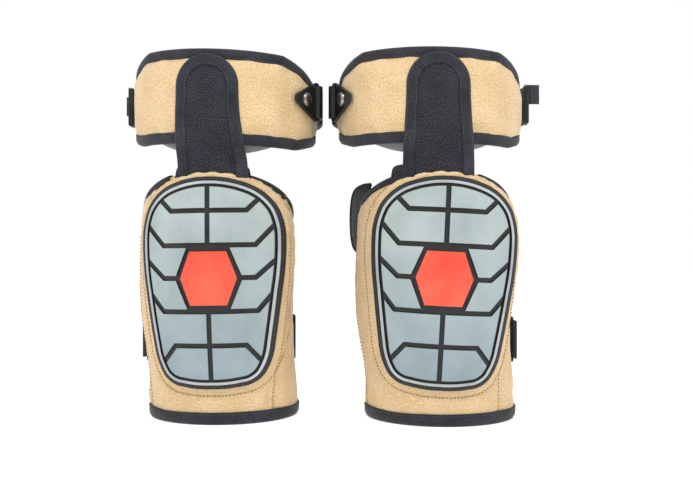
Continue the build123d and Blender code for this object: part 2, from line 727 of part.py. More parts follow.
def buckle_plate(pad):
    """The three-cornered swivel plate: a bore for the rivet, and a window that leaves its bar."""
    bar_front = PLATE_TAIL - BAR_DEPTH
    with BuildPart() as plate:
        with BuildSketch(rivet_plane(pad, PLATE_INNER_RADIUS)) as face:
            with BuildLine():
                Polyline(
                    (-PLATE_NOSE, 0),
                    (PLATE_TAIL, PLATE_HALF_HEIGHT),
                    (PLATE_TAIL, -PLATE_HALF_HEIGHT),
                    close=True,
                )
            make_face()
            fillet(face.vertices(), PLATE_CORNER)
            Circle(RIVET_SHANK + PLATE_BORE_CLEARANCE, mode=Mode.SUBTRACT)
            with Locations((bar_front - BAR_WINDOW / 2, 0)):
                Rectangle(BAR_WINDOW, CLIP_HEIGHT + 2 * CLIP_CLEARANCE, mode=Mode.SUBTRACT)
        extrude(amount=PLATE_THICK)
    return plate


def bar_centre(pad):
    """The middle of the plate's bar, seen from above, and its angle and distance from the cuff's axis."""
    reach = PLATE_INNER_RADIUS + PLATE_THICK / 2
    back = PLATE_TAIL - BAR_DEPTH / 2
    distance = hypot(reach, back)
    angle = RIVET_ANGLE + degrees(atan2(back, reach))
    out = radians(angle)
    x = pad.cuff_shift + pad.hand * distance * sin(out)
    return (x, CUFF_CENTRE_Y - distance * cos(out)), angle


def strap_band(pad, inner, outer, start, end, height):
    """A band round the cuff's axis at the rivet's height, on the pad's own hand."""
    with BuildPart() as band:
        with BuildSketch(spoke(start, (0, CUFF_CENTRE_Y))):
            with Locations(((inner + outer) / 2, RIVET_HEIGHT)):
                Rectangle(outer - inner, height)
        revolve(axis=Axis((0, CUFF_CENTRE_Y, 0), (0, 0, 1)), revolution_arc=end - start)
        if pad.hand < 0:
            mirror(about=Plane.YZ, mode=Mode.REPLACE)
    return band.part.moved(Location((pad.cuff_shift, 0, 0)))


def strap_clip(pad):
    """The clip that turns on the plate's bar and holds the thigh strap."""
    centre, angle = bar_centre(pad)
    bore = hypot(BAR_DEPTH, PLATE_THICK) / 2 + CLIP_CLEARANCE
    with BuildPart() as clip:
        with BuildSketch(Plane.XY.offset(RIVET_HEIGHT - CLIP_HEIGHT / 2)):
            with Locations(centre):
                Circle(bore + CLIP_WALL)
        extrude(amount=CLIP_HEIGHT)
        inner = THIGH_STRAP_RADIUS - CLIP_CHEEK
        outer = THIGH_STRAP_RADIUS + THIGH_STRAP_THICK + CLIP_CHEEK
        add(strap_band(pad, inner, outer, angle, CLIP_END, CLIP_HEIGHT))
        with BuildSketch(Plane.XY.offset(RIVET_HEIGHT - CLIP_HEIGHT / 2)):
            with Locations(centre):
                Circle(bore)
        extrude(amount=CLIP_HEIGHT, mode=Mode.SUBTRACT)
    return clip


def thigh_strap(pad):
    """The elastic thigh strap, round the back to the outside of the cuff's far side, with its hem."""
    outer = THIGH_STRAP_RADIUS + THIGH_STRAP_THICK
    hem_start = THIGH_STRAP_END - degrees(STRAP_HEM_LENGTH / outer)
    with BuildPart() as strap:
        add(strap_band(pad, THIGH_STRAP_RADIUS, outer, THIGH_STRAP_START, THIGH_STRAP_END, THIGH_STRAP_WIDTH))
        add(strap_band(pad, outer, outer + STRAP_HEM_THICK, hem_start, THIGH_STRAP_END, THIGH_STRAP_WIDTH))
    return strap


def thigh_strap_tab(pad):
    """The webbing pull at the thigh strap's end: standing out, or folded back along the strap."""
    outer = THIGH_STRAP_RADIUS + THIGH_STRAP_THICK + STRAP_HEM_THICK
    if not pad.tab_out:
        with BuildPart() as folded:
            start = THIGH_STRAP_END - degrees(TAB_LENGTH / outer)
            add(strap_band(pad, outer, outer + TAB_THICK / 2, start, THIGH_STRAP_END, TAB_HEIGHT))
        return folded
    out = radians(THIGH_STRAP_END - degrees(TAB_THICK / outer))
    radial = (pad.hand * sin(out), -cos(out), 0)
    plane = Plane(
        origin=(
            pad.cuff_shift + outer * radial[0],
            CUFF_CENTRE_Y + outer * radial[1],
            RIVET_HEIGHT + (THIGH_STRAP_WIDTH - TAB_HEIGHT) / 2,
        ),
        x_dir=(0, 0, 1),
        z_dir=radial,
    )
    with BuildPart() as tab:
        with BuildSketch(plane.offset(-TAB_SEAT)):
            Rectangle(TAB_HEIGHT, TAB_THICK)
        extrude(amount=TAB_LENGTH + TAB_SEAT)
        add(thigh_strap(pad).part, mode=Mode.SUBTRACT)
    return tab


# ---------------------------------------------------------------- the whole pair

def pad_pieces(pad):
    """Every piece of one pad, by its plain name."""
    cushion = knee_cushion(pad)
    cover = front_cover(pad, cushion)
    return {
        "front_cover": cover,
        "gusset_left": gusset(cover, -WRAP_HALF_ANGLE, -SEAM_ANGLE),
        "gusset_right": gusset(cover, SEAM_ANGLE, WRAP_HALF_ANGLE),
        "foam_core": wrap_band(FABRIC, LINING_DEPTH, -WRAP_HALF_ANGLE, WRAP_HALF_ANGLE, top_inset=TAPE_WEB),
        "lining": wrap_band(LINING_DEPTH, WRAP_DEPTH, -WRAP_HALF_ANGLE, WRAP_HALF_ANGLE, top_inset=TAPE_WEB),
        "knee_cushion": cushion,
        "hem_binding": hem_binding(pad),
        "top_binding": top_binding(pad),
        "wing_left": wing(-1, pad.flare_left, pad.lift_left),
        "wing_right": wing(1, pad.flare_right, 0),
        "cap_base": cap_base(pad),
        "cap_ring": cap_ring(pad),
        "cap_panels": cap_panels(pad),
        "cap_badge": cap_badge(pad),
        "calf_strap": calf_strap(pad),
        "calf_strap_tab": calf_strap_tab(pad),
        "strap_root": knee_strap_root(pad),
        "back_leaf": back_leaf(pad),
        "cuff_face": cuff_layer(pad, CUFF_RADIUS - CUFF_FACE, CUFF_RADIUS, CUFF_TAPE_WIDTH),
        "cuff_foam": cuff_layer(pad, CUFF_INNER_RADIUS + CUFF_LINING, CUFF_RADIUS - CUFF_FACE, TAPE_WEB),
        "cuff_lining": cuff_layer(pad, CUFF_INNER_RADIUS, CUFF_INNER_RADIUS + CUFF_LINING, CUFF_TAPE_WIDTH),
        "cuff_binding": cuff_binding(pad),
        "cuff_cushion": cuff_cushion(pad),
        "knee_strap": knee_strap(pad),
        "knee_strap_binding": knee_strap_binding(pad),
        "rivet": rivet(pad),
        "buckle_plate": buckle_plate(pad),
        "strap_clip": strap_clip(pad),
        "thigh_strap": thigh_strap(pad),
        "thigh_strap_tab": thigh_strap_tab(pad),
    }


os.makedirs("parts", exist_ok=True)
placed = []
for pad in PADS:
    for name, piece in pad_pieces(pad).items():
        piece.part.label = f"{pad.side}_{name}"
        moved = piece.part.moved(Location((pad.centre_x, 0, 0)))
        moved.label = piece.part.label
        placed.append(moved)

# The origin is on the floor, in the middle of the pair's footprint.
footprint = Compound(placed).bounding_box()
middle = footprint.center()
for piece in placed:
    standing = piece.moved(Location((-middle.X, -middle.Y, -footprint.min.Z)))
    standing.label = piece.label
    export_step(standing, f"parts/{piece.label}.step")
print("origin moved by", -middle.X, -middle.Y, -footprint.min.Z)
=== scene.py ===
# %% [markdown]
# # A pair of work knee pads
# Two pads stand on their hems. Each has a padded wrap for the shin, a moulded rubber cap sewn on a
# pillow, a broad strap up to a padded thigh cuff, a riveted buckle plate and two elastic straps.
# The frame holds the measured solids. This file gives them cloth, seams, stitches and light.

# %% Load the frame
from math import cos, pi, radians, sin, tan

import bmesh
import bpy
import numpy as np
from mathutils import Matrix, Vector


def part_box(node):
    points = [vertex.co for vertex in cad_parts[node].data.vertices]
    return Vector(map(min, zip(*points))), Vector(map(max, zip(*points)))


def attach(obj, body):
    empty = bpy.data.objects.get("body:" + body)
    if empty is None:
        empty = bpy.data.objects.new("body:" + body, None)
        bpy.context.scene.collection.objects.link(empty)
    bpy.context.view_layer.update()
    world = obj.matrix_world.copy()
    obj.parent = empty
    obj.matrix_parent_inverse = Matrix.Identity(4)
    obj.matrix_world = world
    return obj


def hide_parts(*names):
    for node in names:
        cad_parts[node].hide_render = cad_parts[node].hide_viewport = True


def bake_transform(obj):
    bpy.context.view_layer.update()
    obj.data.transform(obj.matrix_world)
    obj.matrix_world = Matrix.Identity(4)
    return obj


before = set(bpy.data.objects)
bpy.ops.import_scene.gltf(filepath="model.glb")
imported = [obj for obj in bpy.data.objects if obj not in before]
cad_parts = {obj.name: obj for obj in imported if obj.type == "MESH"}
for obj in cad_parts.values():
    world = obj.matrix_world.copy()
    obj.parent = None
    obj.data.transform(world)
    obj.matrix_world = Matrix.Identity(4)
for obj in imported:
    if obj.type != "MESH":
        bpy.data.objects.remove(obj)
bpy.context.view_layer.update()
MM = 0.001
SIDES = ("left", "right")

# %% [markdown]
# ## Measure the pads
# Every piece is placed from the boxes of the measured solids. The hem tape runs round more than half
# a circle, so half its width is its radius, and its front edge gives the leg's centre line. The
# thigh cuff is read in the same way. A cloth piece can then be drawn on a chart: an arc length round
# the leg and a height.

# %% Read each pad's centre lines and radii
TAPE_PROUD = {"wrap": 1.0 * MM, "cuff": 0.8 * MM}
WRAP_HALF = radians(112)
CUFF_HALF = radians(104)
WRAP_DEPTH = 10.5 * MM
CUFF_DEPTH = 11.5 * MM
FACE_CLOTH = 1.5 * MM
TOP_SLOPE = radians(23)
CUFF_LOW_SLOPE = radians(11)
CUFF_TOP_SLOPE = radians(18)
CUFF_LOW_LEVEL = 50 * MM
CUFF_TOP_LEVEL = 32 * MM


def ring_of(node, proud):
    """Centre line and radius of a solid that runs round the leg, from its box."""
    low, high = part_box(node)
    radius = (high.x - low.x) / 2
    return ((low.x + high.x) / 2, low.y + radius), radius - proud


PADS = {}
for side in SIDES:
    leg, hem = ring_of(f"{side}_hem_binding", TAPE_PROUD["wrap"])
    cuff, cuff_radius = ring_of(f"{side}_cuff_binding", TAPE_PROUD["cuff"])
    cuff_low, cuff_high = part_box(f"{side}_cuff_binding")
    rivet_low, rivet_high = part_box(f"{side}_rivet")
    strap_low, strap_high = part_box(f"{side}_knee_strap_binding")
    PADS[side] = {
        "leg": leg,
        "hem": hem,
        "knee": hem + 3.5 * MM,
        "top": hem - 0.5 * MM,
        "height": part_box(f"{side}_foam_core")[1].z + FACE_CLOTH / cos(TOP_SLOPE),
        "cuff": cuff,
        "cuff_r": cuff_radius,
        "cuff_z": (cuff_low.z, cuff_high.z),
        "hand": 1 if (rivet_low.x + rivet_high.x) / 2 > cuff[0] else -1,
        "cuff_roll": {"left": 0.03, "right": 0.012}[side],
        "rivet_z": (rivet_low.z + rivet_high.z) / 2,
        "strap_x": (strap_low.x + strap_high.x) / 2,
        "strap_z": (strap_low.z, strap_high.z),
    }
    print(side, {k: (round(v, 4) if isinstance(v, float) else v) for k, v in PADS[side].items()})

# %% [markdown]
# ## Plain helpers for cloth
# Three shapes cover most sewn goods: a grid of points that becomes a sheet, a row of rings that
# becomes a tape or a roll, and two grids closed along their border that become a cushion. The grid
# also gets a UV map in metres, so that a weave keeps its size and follows the cloth.


# %% Smooth steps and seeded unevenness
def ease(value, low, high):
    """0 below low, 1 above high, and smooth between."""
    t = np.clip((value - low) / (high - low), 0, 1)
    return t * t * (3 - 2 * t)


def uneven(x, y, cell, seed):
    """Soft unevenness from -1 to 1, whose bumps are about one cell apart."""
    rows = np.random.default_rng(seed).uniform(-1, 1, (64, 64))
    gx, gy = np.asarray(x) / cell + 17.3, np.asarray(y) / cell + 9.1
    ix, iy = np.floor(gx).astype(int), np.floor(gy).astype(int)
    fx, fy = gx - ix, gy - iy
    fx, fy = fx * fx * (3 - 2 * fx), fy * fy * (3 - 2 * fy)
    at = lambda a, b: rows[a % 64, b % 64]
    low = at(ix, iy) * (1 - fx) + at(ix + 1, iy) * fx
    high = at(ix, iy + 1) * (1 - fx) + at(ix + 1, iy + 1) * fx
    return low * (1 - fy) + high * fy


# %% Sheets, rolls and cushions
def new_piece(name, verts, faces, uvs, material, body, nodes):
    """A finished mesh object that rides on a body, stands for CAD nodes and takes a slot's finish."""
    mesh = bpy.data.meshes.new(name)
    mesh.from_pydata([tuple(v) for v in verts], [], faces)
    layer = mesh.uv_layers.new(name="cloth")
    loops = np.empty(len(mesh.loops), int)
    mesh.loops.foreach_get("vertex_index", loops)
    layer.data.foreach_set("uv", np.asarray(uvs, float)[loops].ravel())
    mesh.polygons.foreach_set("use_smooth", [True] * len(mesh.polygons))
    mesh.materials.append(material)
    mesh.validate()
    piece = bpy.data.objects.new(name, mesh)
    bpy.context.scene.collection.objects.link(piece)
    register(piece, body, nodes)
    return piece


def register(piece, body, nodes):
    """Hang the piece on its body, or bake it in place when it spans two, and hide the CAD nodes it stands
    for.
    """
    if isinstance(body, str):
        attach(piece, body)
    else:
        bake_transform(piece)
    if nodes:
        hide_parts(*nodes)


def grid_faces(rows, columns, close_rows=False, close_columns=False, flip=False):
    """Quads between neighbours of a grid of points."""
    faces = []
    for i in range(rows if close_rows else rows - 1):
        for j in range(columns if close_columns else columns - 1):
            a, b = i * columns + j, i * columns + (j + 1) % columns
            c, d = ((i + 1) % rows) * columns + (j + 1) % columns, ((i + 1) % rows) * columns + j
            faces.append((a, b, c, d) if flip else (a, d, c, b))
    return faces


def grid_uv(points):
    """Arc lengths along a grid's rows and columns, in metres."""
    along = np.linalg.norm(np.diff(points, axis=0), axis=2).cumsum(axis=0)
    across = np.linalg.norm(np.diff(points, axis=1), axis=2).cumsum(axis=1)
    u = np.vstack([np.zeros((1, points.shape[1])), along])
    v = np.hstack([np.zeros((points.shape[0], 1)), across])
    u = np.repeat(u[:, [points.shape[1] // 2]], points.shape[1], axis=1)
    return np.stack([u, v], axis=2)


def sheet_piece(name, points, material, body, nodes, thick=1.2 * MM, flip=False):
    """A sheet of cloth from a grid of points, its thickness going inward."""
    points = np.asarray(points)
    rows, columns = points.shape[:2]
    uvs = grid_uv(points).reshape(-1, 2)
    faces = grid_faces(rows, columns, flip=flip)
    piece = new_piece(name, points.reshape(-1, 3), faces, uvs, material, body, nodes)
    if thick:
        shell = piece.modifiers.new("thickness", "SOLIDIFY")
        shell.thickness = thick
        shell.offset = -1
    return piece


def roll_piece(name, rings, material, body, nodes, loop=False, flip=False):
    """A tape or roll: one closed ring of points for each step along its path."""
    rings = np.asarray(rings)
    rows, columns = rings.shape[:2]
    faces = grid_faces(rows, columns, close_rows=loop, close_columns=True, flip=flip)
    if not loop:
        first = list(range(columns))
        last = [(rows - 1) * columns + j for j in range(columns)]
        faces.append(tuple(first if not flip else first[::-1]))
        faces.append(tuple(last[::-1] if not flip else last))
    uvs = grid_uv(rings).reshape(-1, 2)
    return new_piece(name, rings.reshape(-1, 3), faces, uvs, material, body, nodes)


def cushion_piece(name, front, back, material, body, nodes):
    """A closed cushion from a front and a back grid whose borders meet."""
    front, back = np.asarray(front), np.asarray(back)
    rows, columns = front.shape[:2]
    count = rows * columns
    faces = grid_faces(rows, columns)
    faces += [tuple(i + count for i in f) for f in grid_faces(rows, columns, flip=True)]
    uvs = np.vstack([grid_uv(front).reshape(-1, 2), grid_uv(back).reshape(-1, 2)])
    verts = np.vstack([front.reshape(-1, 3), back.reshape(-1, 3)])
    piece = new_piece(name, verts, faces, uvs, material, body, nodes)
    work = bmesh.new()
    work.from_mesh(piece.data)
    bmesh.ops.remove_doubles(work, verts=work.verts, dist=0.05 * MM)
    bmesh.ops.recalc_face_normals(work, faces=work.faces)
    work.to_mesh(piece.data)
    work.free()
    return piece


# %% [markdown]
# ## Charts of the wrap and the cuff
# The wrap is a body of revolution that is fuller at the knee, and the cuff is a plain band. Each
# chart takes an angle round the leg, a height and how far the point stands off the face cloth.


# %% Points on the wrap and on the cuff
def wrap_radius(pad, z):
    """The wrap's outer radius: straight above the hem, fuller at the knee, drawn in at the top."""
    low, middle, high = 60 * MM, 160 * MM, pad["height"]
    a, b, c = pad["hem"], pad["knee"], pad["top"]
    t = np.maximum(z, low)
    return (
        a * (t - middle) * (t - high) / ((low - middle) * (low - high))
        + b * (t - low) * (t - high) / ((middle - low) * (middle - high))
        + c * (t - low) * (t - middle) / ((high - low) * (high - middle))
    )


def wrap_lean(z):
    """The soft wrap slumps a little to the -X side above its hem."""
    return -8 * MM * ease(z, 15 * MM, 125 * MM) * (1 - 0.5 * ease(z, 205 * MM, 270 * MM))


def wrap_point(pad, angle, z, off=0.0):
    """Points on the wrap at angles round the leg and heights, standing off its face by off."""
    angle, z, off = np.broadcast_arrays(angle, z, off)
    radius = wrap_radius(pad, z) + off
    x = pad["leg"][0] + wrap_lean(z) + radius * np.sin(angle)
    y = pad["leg"][1] - radius * np.cos(angle)
    return np.stack([x, y, z], axis=-1)


def wrap_top(pad, angle):
    """Height of the wrap's top edge, which falls away from the front to the back."""
    return pad["height"] - tan(TOP_SLOPE) * pad["top"] * (1 - np.cos(angle))


def cuff_point(pad, angle, z, off=0.0):
    """Points on the cuff, which is rolled a little to one side, standing off its face by off."""
    angle, z, off = np.broadcast_arrays(angle, z, off)
    radius = pad["cuff_r"] + off
    across = radius * np.sin(angle)
    y = pad["cuff"][1] - radius * np.cos(angle)
    return np.stack([pad["cuff"][0] + across, y, z - pad["cuff_roll"] * across], axis=-1)


def cuff_edges(pad, angle):
    """Heights of the cuff's lower and upper edge at an angle: both edges close in towards the back."""
    back = pad["cuff_r"] * (1 - np.cos(angle))
    rise = tan(CUFF_LOW_SLOPE) * np.maximum(0, back - CUFF_LOW_LEVEL)
    fall = tan(CUFF_TOP_SLOPE) * np.maximum(0, back - CUFF_TOP_LEVEL)
    return pad["cuff_z"][0] + rise, pad["cuff_z"][1] - fall


# %% [markdown]
# ## Finishes
# Each finish starts from the real material. A small function adds a shader node with its settings
# and its links, and another turns a colour picked on a screen into the linear values Cycles uses.


# %% Colours and nodes
def linear(code):
    """A linear RGBA colour from an sRGB hex code."""
    parts = [int(code[i : i + 2], 16) / 255 for i in (0, 2, 4)]
    return tuple(p / 12.92 if p <= 0.04045 else ((p + 0.055) / 1.055) ** 2.4 for p in parts) + (1.0,)


def add(tree, kind, links=None, **settings):
    """Add a node, set its properties, and give its inputs values or links."""
    made = tree.nodes.new(kind)
    for key, value in settings.items():
        setattr(made, key, value)
    for key, value in (links or {}).items():
        if isinstance(value, bpy.types.NodeSocket):
            tree.links.new(value, made.inputs[key])
        else:
            made.inputs[key].default_value = value
    return made


def maths(tree, operation, *values):
    """The output of a Math node that works on values or links."""
    return add(tree, "ShaderNodeMath", dict(enumerate(values)), operation=operation).outputs[0]


def finish(name, **shader):
    """A new material with its Principled shader's plain values set."""
    material = bpy.data.materials.new(name)
    material.use_nodes = True
    tree = material.node_tree
    principled = tree.nodes["Principled BSDF"]
    for key, value in shader.items():
        principled.inputs[key.replace("_", " ")].default_value = value
    return material, tree, principled


def ramp(tree, factor, stops):
    """A colour ramp of (place, hex colour) stops, read at a factor."""
    made = add(tree, "ShaderNodeValToRGB", {"Fac": factor})
    band = made.color_ramp
    band.elements[0].position, band.elements[0].color = stops[0][0], linear(stops[0][1])
    band.elements[1].position, band.elements[1].color = stops[-1][0], linear(stops[-1][1])
    for place, code in stops[1:-1]:
        band.elements.new(place).color = linear(code)
    return made.outputs["Color"]


# %% [markdown]
# ### Woven cloths
# A plain weave is two sets of threads crossing over and under. A sine along each thread direction
# gives the crowns of the threads, their product gives the over and under, and fibre noise breaks the
# evenness. The polyester canvas has threads of about half a millimetre; they are drawn about 1.9 mm
# apart here so that the weave still shows from a metre away.


# %% Woven finish
def woven(name, stops, pitch, relief, rib=1.0, roughness=0.85, sheen=0.25, mottle=0.5, fuzz=0.35):
    """A woven cloth: thread pitch in metres, relief of its crowns, and colours from shade to light."""
    material, tree, shader = finish(name, Roughness=roughness, Sheen_Weight=sheen, Sheen_Roughness=0.45)
    shader.inputs["Specular IOR Level"].default_value = 0.25
    place = add(tree, "ShaderNodeUVMap", uv_map="cloth").outputs["UV"]
    split = add(tree, "ShaderNodeSeparateXYZ", {0: place})
    warp = maths(tree, "SINE", maths(tree, "MULTIPLY", split.outputs[0], 2 * pi / pitch))
    weft = maths(tree, "SINE", maths(tree, "MULTIPLY", split.outputs[1], 2 * pi / (pitch * rib)))
    fibre = add(tree, "ShaderNodeTexNoise", {"Vector": place, "Scale": 0.9 / pitch, "Detail": 3.0}).outputs[0]
    broad = add(tree, "ShaderNodeTexNoise", {"Vector": place, "Scale": 28.0, "Detail": 3.0}).outputs[0]
    crown = maths(tree, "MULTIPLY_ADD", maths(tree, "MULTIPLY", warp, weft), 0.3, 0.5)
    shade = maths(tree, "MULTIPLY_ADD", maths(tree, "SUBTRACT", fibre, 0.5), fuzz * 2, crown)
    tone = maths(tree, "MULTIPLY_ADD", maths(tree, "SUBTRACT", broad, 0.5), mottle, shade)
    tree.links.new(ramp(tree, tone, stops), shader.inputs["Base Color"])
    bump = add(tree, "ShaderNodeBump", {"Height": shade, "Strength": 0.6, "Distance": relief})
    tree.links.new(bump.outputs["Normal"], shader.inputs["Normal"])
    return material


# Polyester canvas, woven and dyed sand: matt with a dry, slightly glinting weave.
CANVAS = woven(
    "sand_polyester_canvas",
    [(0.14, "86683f"), (0.4, "c7a571"), (0.6, "e0c397"), (0.84, "f6e5c8")],
    pitch=1.9 * MM,
    relief=0.8 * MM,
    mottle=0.25,
    fuzz=0.3,
)
# Polyester binding tape, woven with fine ribs along it: nearly black, with a dull sheen.
TAPE = woven(
    "black_binding_tape",
    [(0.28, "08090a"), (0.5, "191a1e"), (0.74, "44464f")],
    pitch=1.6 * MM,
    relief=0.5 * MM,
    roughness=0.75,
    sheen=0.12,
)
# Brushed loop fabric on thin foam: a felted black with grey fibre ends.
LOOP = woven(
    "black_loop_fabric",
    [(0.24, "08090b"), (0.5, "1b1b20"), (0.8, "484952")],
    pitch=1.2 * MM,
    relief=0.6 * MM,
    roughness=0.95,
    sheen=0.2,
    mottle=0.3,
    fuzz=0.8,
)
# Knitted polyester lining: soft, black and even.
LINING = woven(
    "black_knit_lining",
    [(0.2, "15161a"), (0.5, "26272c"), (0.85, "3f4149")],
    pitch=1.6 * MM,
    relief=0.6 * MM,
    roughness=0.9,
    sheen=0.1,
)
# Ribbed elastic webbing: rubber cords covered with yarn give it long ribs.
ELASTIC = woven(
    "black_ribbed_elastic",
    [(0.2, "141518"), (0.5, "222329"), (0.85, "3c3e46")],
    pitch=1.0 * MM,
    relief=0.3 * MM,
    rib=1.8,
    roughness=0.8,
)
# Nylon webbing: a coarse plain weave with a slight shine on the yarns.
WEBBING = woven(
    "black_nylon_webbing",
    [(0.2, "121316"), (0.5, "24262b"), (0.85, "484a52")],
    pitch=1.5 * MM,
    relief=0.5 * MM,
    roughness=0.6,
)
# Sewing thread: twisted polyester, in two colours.
TAN_THREAD = woven(
    "sand_thread", [(0.2, "6d5330"), (0.5, "8c6d42"), (0.85, "a98a5c")], pitch=0.6 * MM, relief=0.05 * MM
)
BLACK_THREAD = woven(
    "black_thread", [(0.2, "24262b"), (0.5, "3c3f46"), (0.85, "5c5f68")], pitch=0.6 * MM, relief=0.05 * MM
)
print("cloths", [m.name for m in (CANVAS, TAPE, LOOP, LINING, ELASTIC, WEBBING)])

# %% [markdown]
# ### Mesh, foam cloth and hook tape
# Spacer mesh is a knit with round holes, so a cell pattern gives dark pits. The inner cushion is
# covered in smooth grey neoprene. Hook tape is a field of tiny hooks, drawn as fine round cells.


# %% Mesh, neoprene and hook finishes
def celled(name, stops, cell, relief, roughness, sheen=0.2):
    """A cloth of small round cells, such as spacer mesh or hook tape."""
    material, tree, shader = finish(name, Roughness=roughness, Sheen_Weight=sheen)
    place = add(tree, "ShaderNodeUVMap", uv_map="cloth").outputs["UV"]
    cells = add(
        tree, "ShaderNodeTexVoronoi", {"Vector": place, "Scale": 1 / cell, "Randomness": 0.25}, feature="F1"
    )
    tree.links.new(ramp(tree, cells.outputs["Distance"], stops), shader.inputs["Base Color"])
    bump = add(
        tree, "ShaderNodeBump", {"Height": cells.outputs["Distance"], "Strength": 0.9, "Distance": relief}
    )
    tree.links.new(bump.outputs["Normal"], shader.inputs["Normal"])
    return material


MESH = celled(
    "black_spacer_mesh", [(0.15, "08090a"), (0.45, "1c1d21"), (0.8, "3a3c43")],
    cell=2.6 * MM, relief=0.8 * MM, roughness=0.8,
)
HOOK = celled(
    "black_hook_tape", [(0.1, "2c2e33"), (0.5, "17181b"), (0.8, "0c0d0f")],
    cell=1.4 * MM, relief=0.6 * MM, roughness=0.55,
)


def smooth_cloth(name, stops, scale, roughness, sheen, relief):
    """A smooth cloth or foam skin with soft tone changes."""
    material, tree, shader = finish(name, Roughness=roughness, Sheen_Weight=sheen)
    place = add(tree, "ShaderNodeTexCoord").outputs["Object"]
    grain = add(
        tree, "ShaderNodeTexNoise", {"Vector": place, "Scale": scale, "Detail": 6.0, "Roughness": 0.65}
    )
    tree.links.new(ramp(tree, grain.outputs[0], stops), shader.inputs["Base Color"])
    bump = add(tree, "ShaderNodeBump", {"Height": grain.outputs[0], "Strength": 0.4, "Distance": relief})
    tree.links.new(bump.outputs["Normal"], shader.inputs["Normal"])
    return material


NEOPRENE = smooth_cloth(
    "grey_neoprene", [(0.3, "5c5d60"), (0.5, "717275"), (0.75, "8a8b8e")], 900.0, 0.62, 0.3, 0.15 * MM
)

# %% [markdown]
# ### Rubber, plastic and metal
# The cap is moulded rubber: black in the grooves and the flange, grey on the raised panels, red on
# the badge. The mould leaves a fine even grain that spreads the light, and handling leaves faint
# lighter rubs. The grey is painted a little darker and bluer towards the foot of the cap: this is
# painted shade, for the light from above that falls off there. The rivet is a nickel-plated steel
# cap and the buckle is moulded nylon.


# %% Moulded finishes
def moulded(name, stops, grain_scale, roughness, spread, relief, fade=None, **shader_values):
    """A moulded surface: fine grain, soft cloudiness in the colour, and roughness that varies.

    A painted shade is a low height, a high height and the darker colours painted as shade at the low one.
    """
    material, tree, shader = finish(name, **shader_values)
    place = add(tree, "ShaderNodeTexCoord").outputs["Object"]
    cloud = add(tree, "ShaderNodeTexNoise", {"Vector": place, "Scale": 22.0, "Detail": 5.0, "Roughness": 0.6})
    grain = add(tree, "ShaderNodeTexNoise", {"Vector": place, "Scale": grain_scale, "Detail": 2.0})
    tone = ramp(tree, cloud.outputs[0], stops)
    # Painted shade: below the high height the colour is mixed towards the darker stops, fully so at the low
    # height.
    if fade:
        height = add(tree, "ShaderNodeSeparateXYZ", {"Vector": place}).outputs["Z"]
        share = add(tree, "ShaderNodeMapRange", {"Value": height, "From Min": fade[0], "From Max": fade[1]})
        shaded_tone = ramp(tree, cloud.outputs[0], fade[2])
        tone = add(
            tree, "ShaderNodeMix", {6: shaded_tone, 7: tone, "Factor": share.outputs[0]}, data_type="RGBA"
        ).outputs[2]
    tree.links.new(tone, shader.inputs["Base Color"])
    limits = {"From Min": 0.3, "From Max": 0.7, "To Min": roughness - spread, "To Max": roughness + spread}
    rough = add(tree, "ShaderNodeMapRange", {"Value": cloud.outputs[0], **limits})
    tree.links.new(rough.outputs[0], shader.inputs["Roughness"])
    bump = add(tree, "ShaderNodeBump", {"Height": grain.outputs[0], "Strength": 0.35, "Distance": relief})
    tree.links.new(bump.outputs["Normal"], shader.inputs["Normal"])
    return material


# Heights of the grey's painted shade: full at the low one, gone at the high one.
PAINTED_SHADE_LOW, PAINTED_SHADE_HIGH = 50 * MM, 200 * MM
CAP_BLACK = moulded(
    "black_moulded_rubber", [(0.3, "0b0c0d"), (0.5, "121315"), (0.75, "1d1f21")],
    1500.0, 0.58, 0.08, 0.12 * MM,
)
CAP_LINE = moulded(
    "light_moulded_line", [(0.3, "8d9294"), (0.5, "a3a8aa"), (0.75, "b6bbbc")], 1500.0, 0.5, 0.06, 0.1 * MM
)
# The grey rubber, with painted shade that darkens and blues it towards the foot of the cap.
CAP_GREY = moulded(
    "grey_moulded_rubber", [(0.25, "8f9b9a"), (0.5, "9ba7a6"), (0.78, "a9b3b2")],
    1400.0, 0.42, 0.06, 0.12 * MM,
    fade=(PAINTED_SHADE_LOW, PAINTED_SHADE_HIGH, [(0.25, "76868d"), (0.5, "82929a"), (0.78, "8f9ea6")]),
)
BADGE_RED = moulded(
    "red_moulded_rubber", [(0.3, "d8402a"), (0.5, "e84e36"), (0.75, "f26048")], 1500.0, 0.45, 0.06, 0.1 * MM
)
NYLON = moulded(
    "black_moulded_nylon", [(0.3, "0d0e10"), (0.5, "16181a"), (0.75, "232528")], 1800.0, 0.4, 0.08, 0.1 * MM
)
NICKEL = moulded(
    "nickel_plated_steel", [(0.3, "6e6a68"), (0.5, "8d8886"), (0.75, "aaa5a2")], 2500.0, 0.3, 0.08, 0.03 * MM,
    Metallic=1.0,
)
print("moulded", [m.name for m in (CAP_BLACK, CAP_LINE, CAP_GREY, BADGE_RED, NYLON, NICKEL)])

# %% [markdown]
# ## The moulded cap, the rivet and the buckle
# Their shapes are already right in the frame, so they stay. A mould never leaves a knife edge, so a
# weld and a small bevel round every sharp edge and catch the light along the grooves.


# %% Dress the hard CAD nodes
def dress(node, material, radius, segments=2):
    """Give a CAD node its finish and rounded edges."""
    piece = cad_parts[node]
    if piece.material_slots:
        for place in piece.material_slots:
            place.link = "OBJECT"
            place.material = material
    else:
        piece.data.materials.append(material)
    weld = piece.modifiers.new("weld", "WELD")
    weld.merge_threshold = 0.01 * MM
    bevel = piece.modifiers.new("rounded edges", "BEVEL")
    bevel.width = radius
    bevel.segments = segments
    bevel.limit_method = "ANGLE"
    bevel.angle_limit = radians(35)
    bevel.use_clamp_overlap = True
    soft = piece.modifiers.new("shading", "WEIGHTED_NORMAL")
    soft.keep_sharp = True


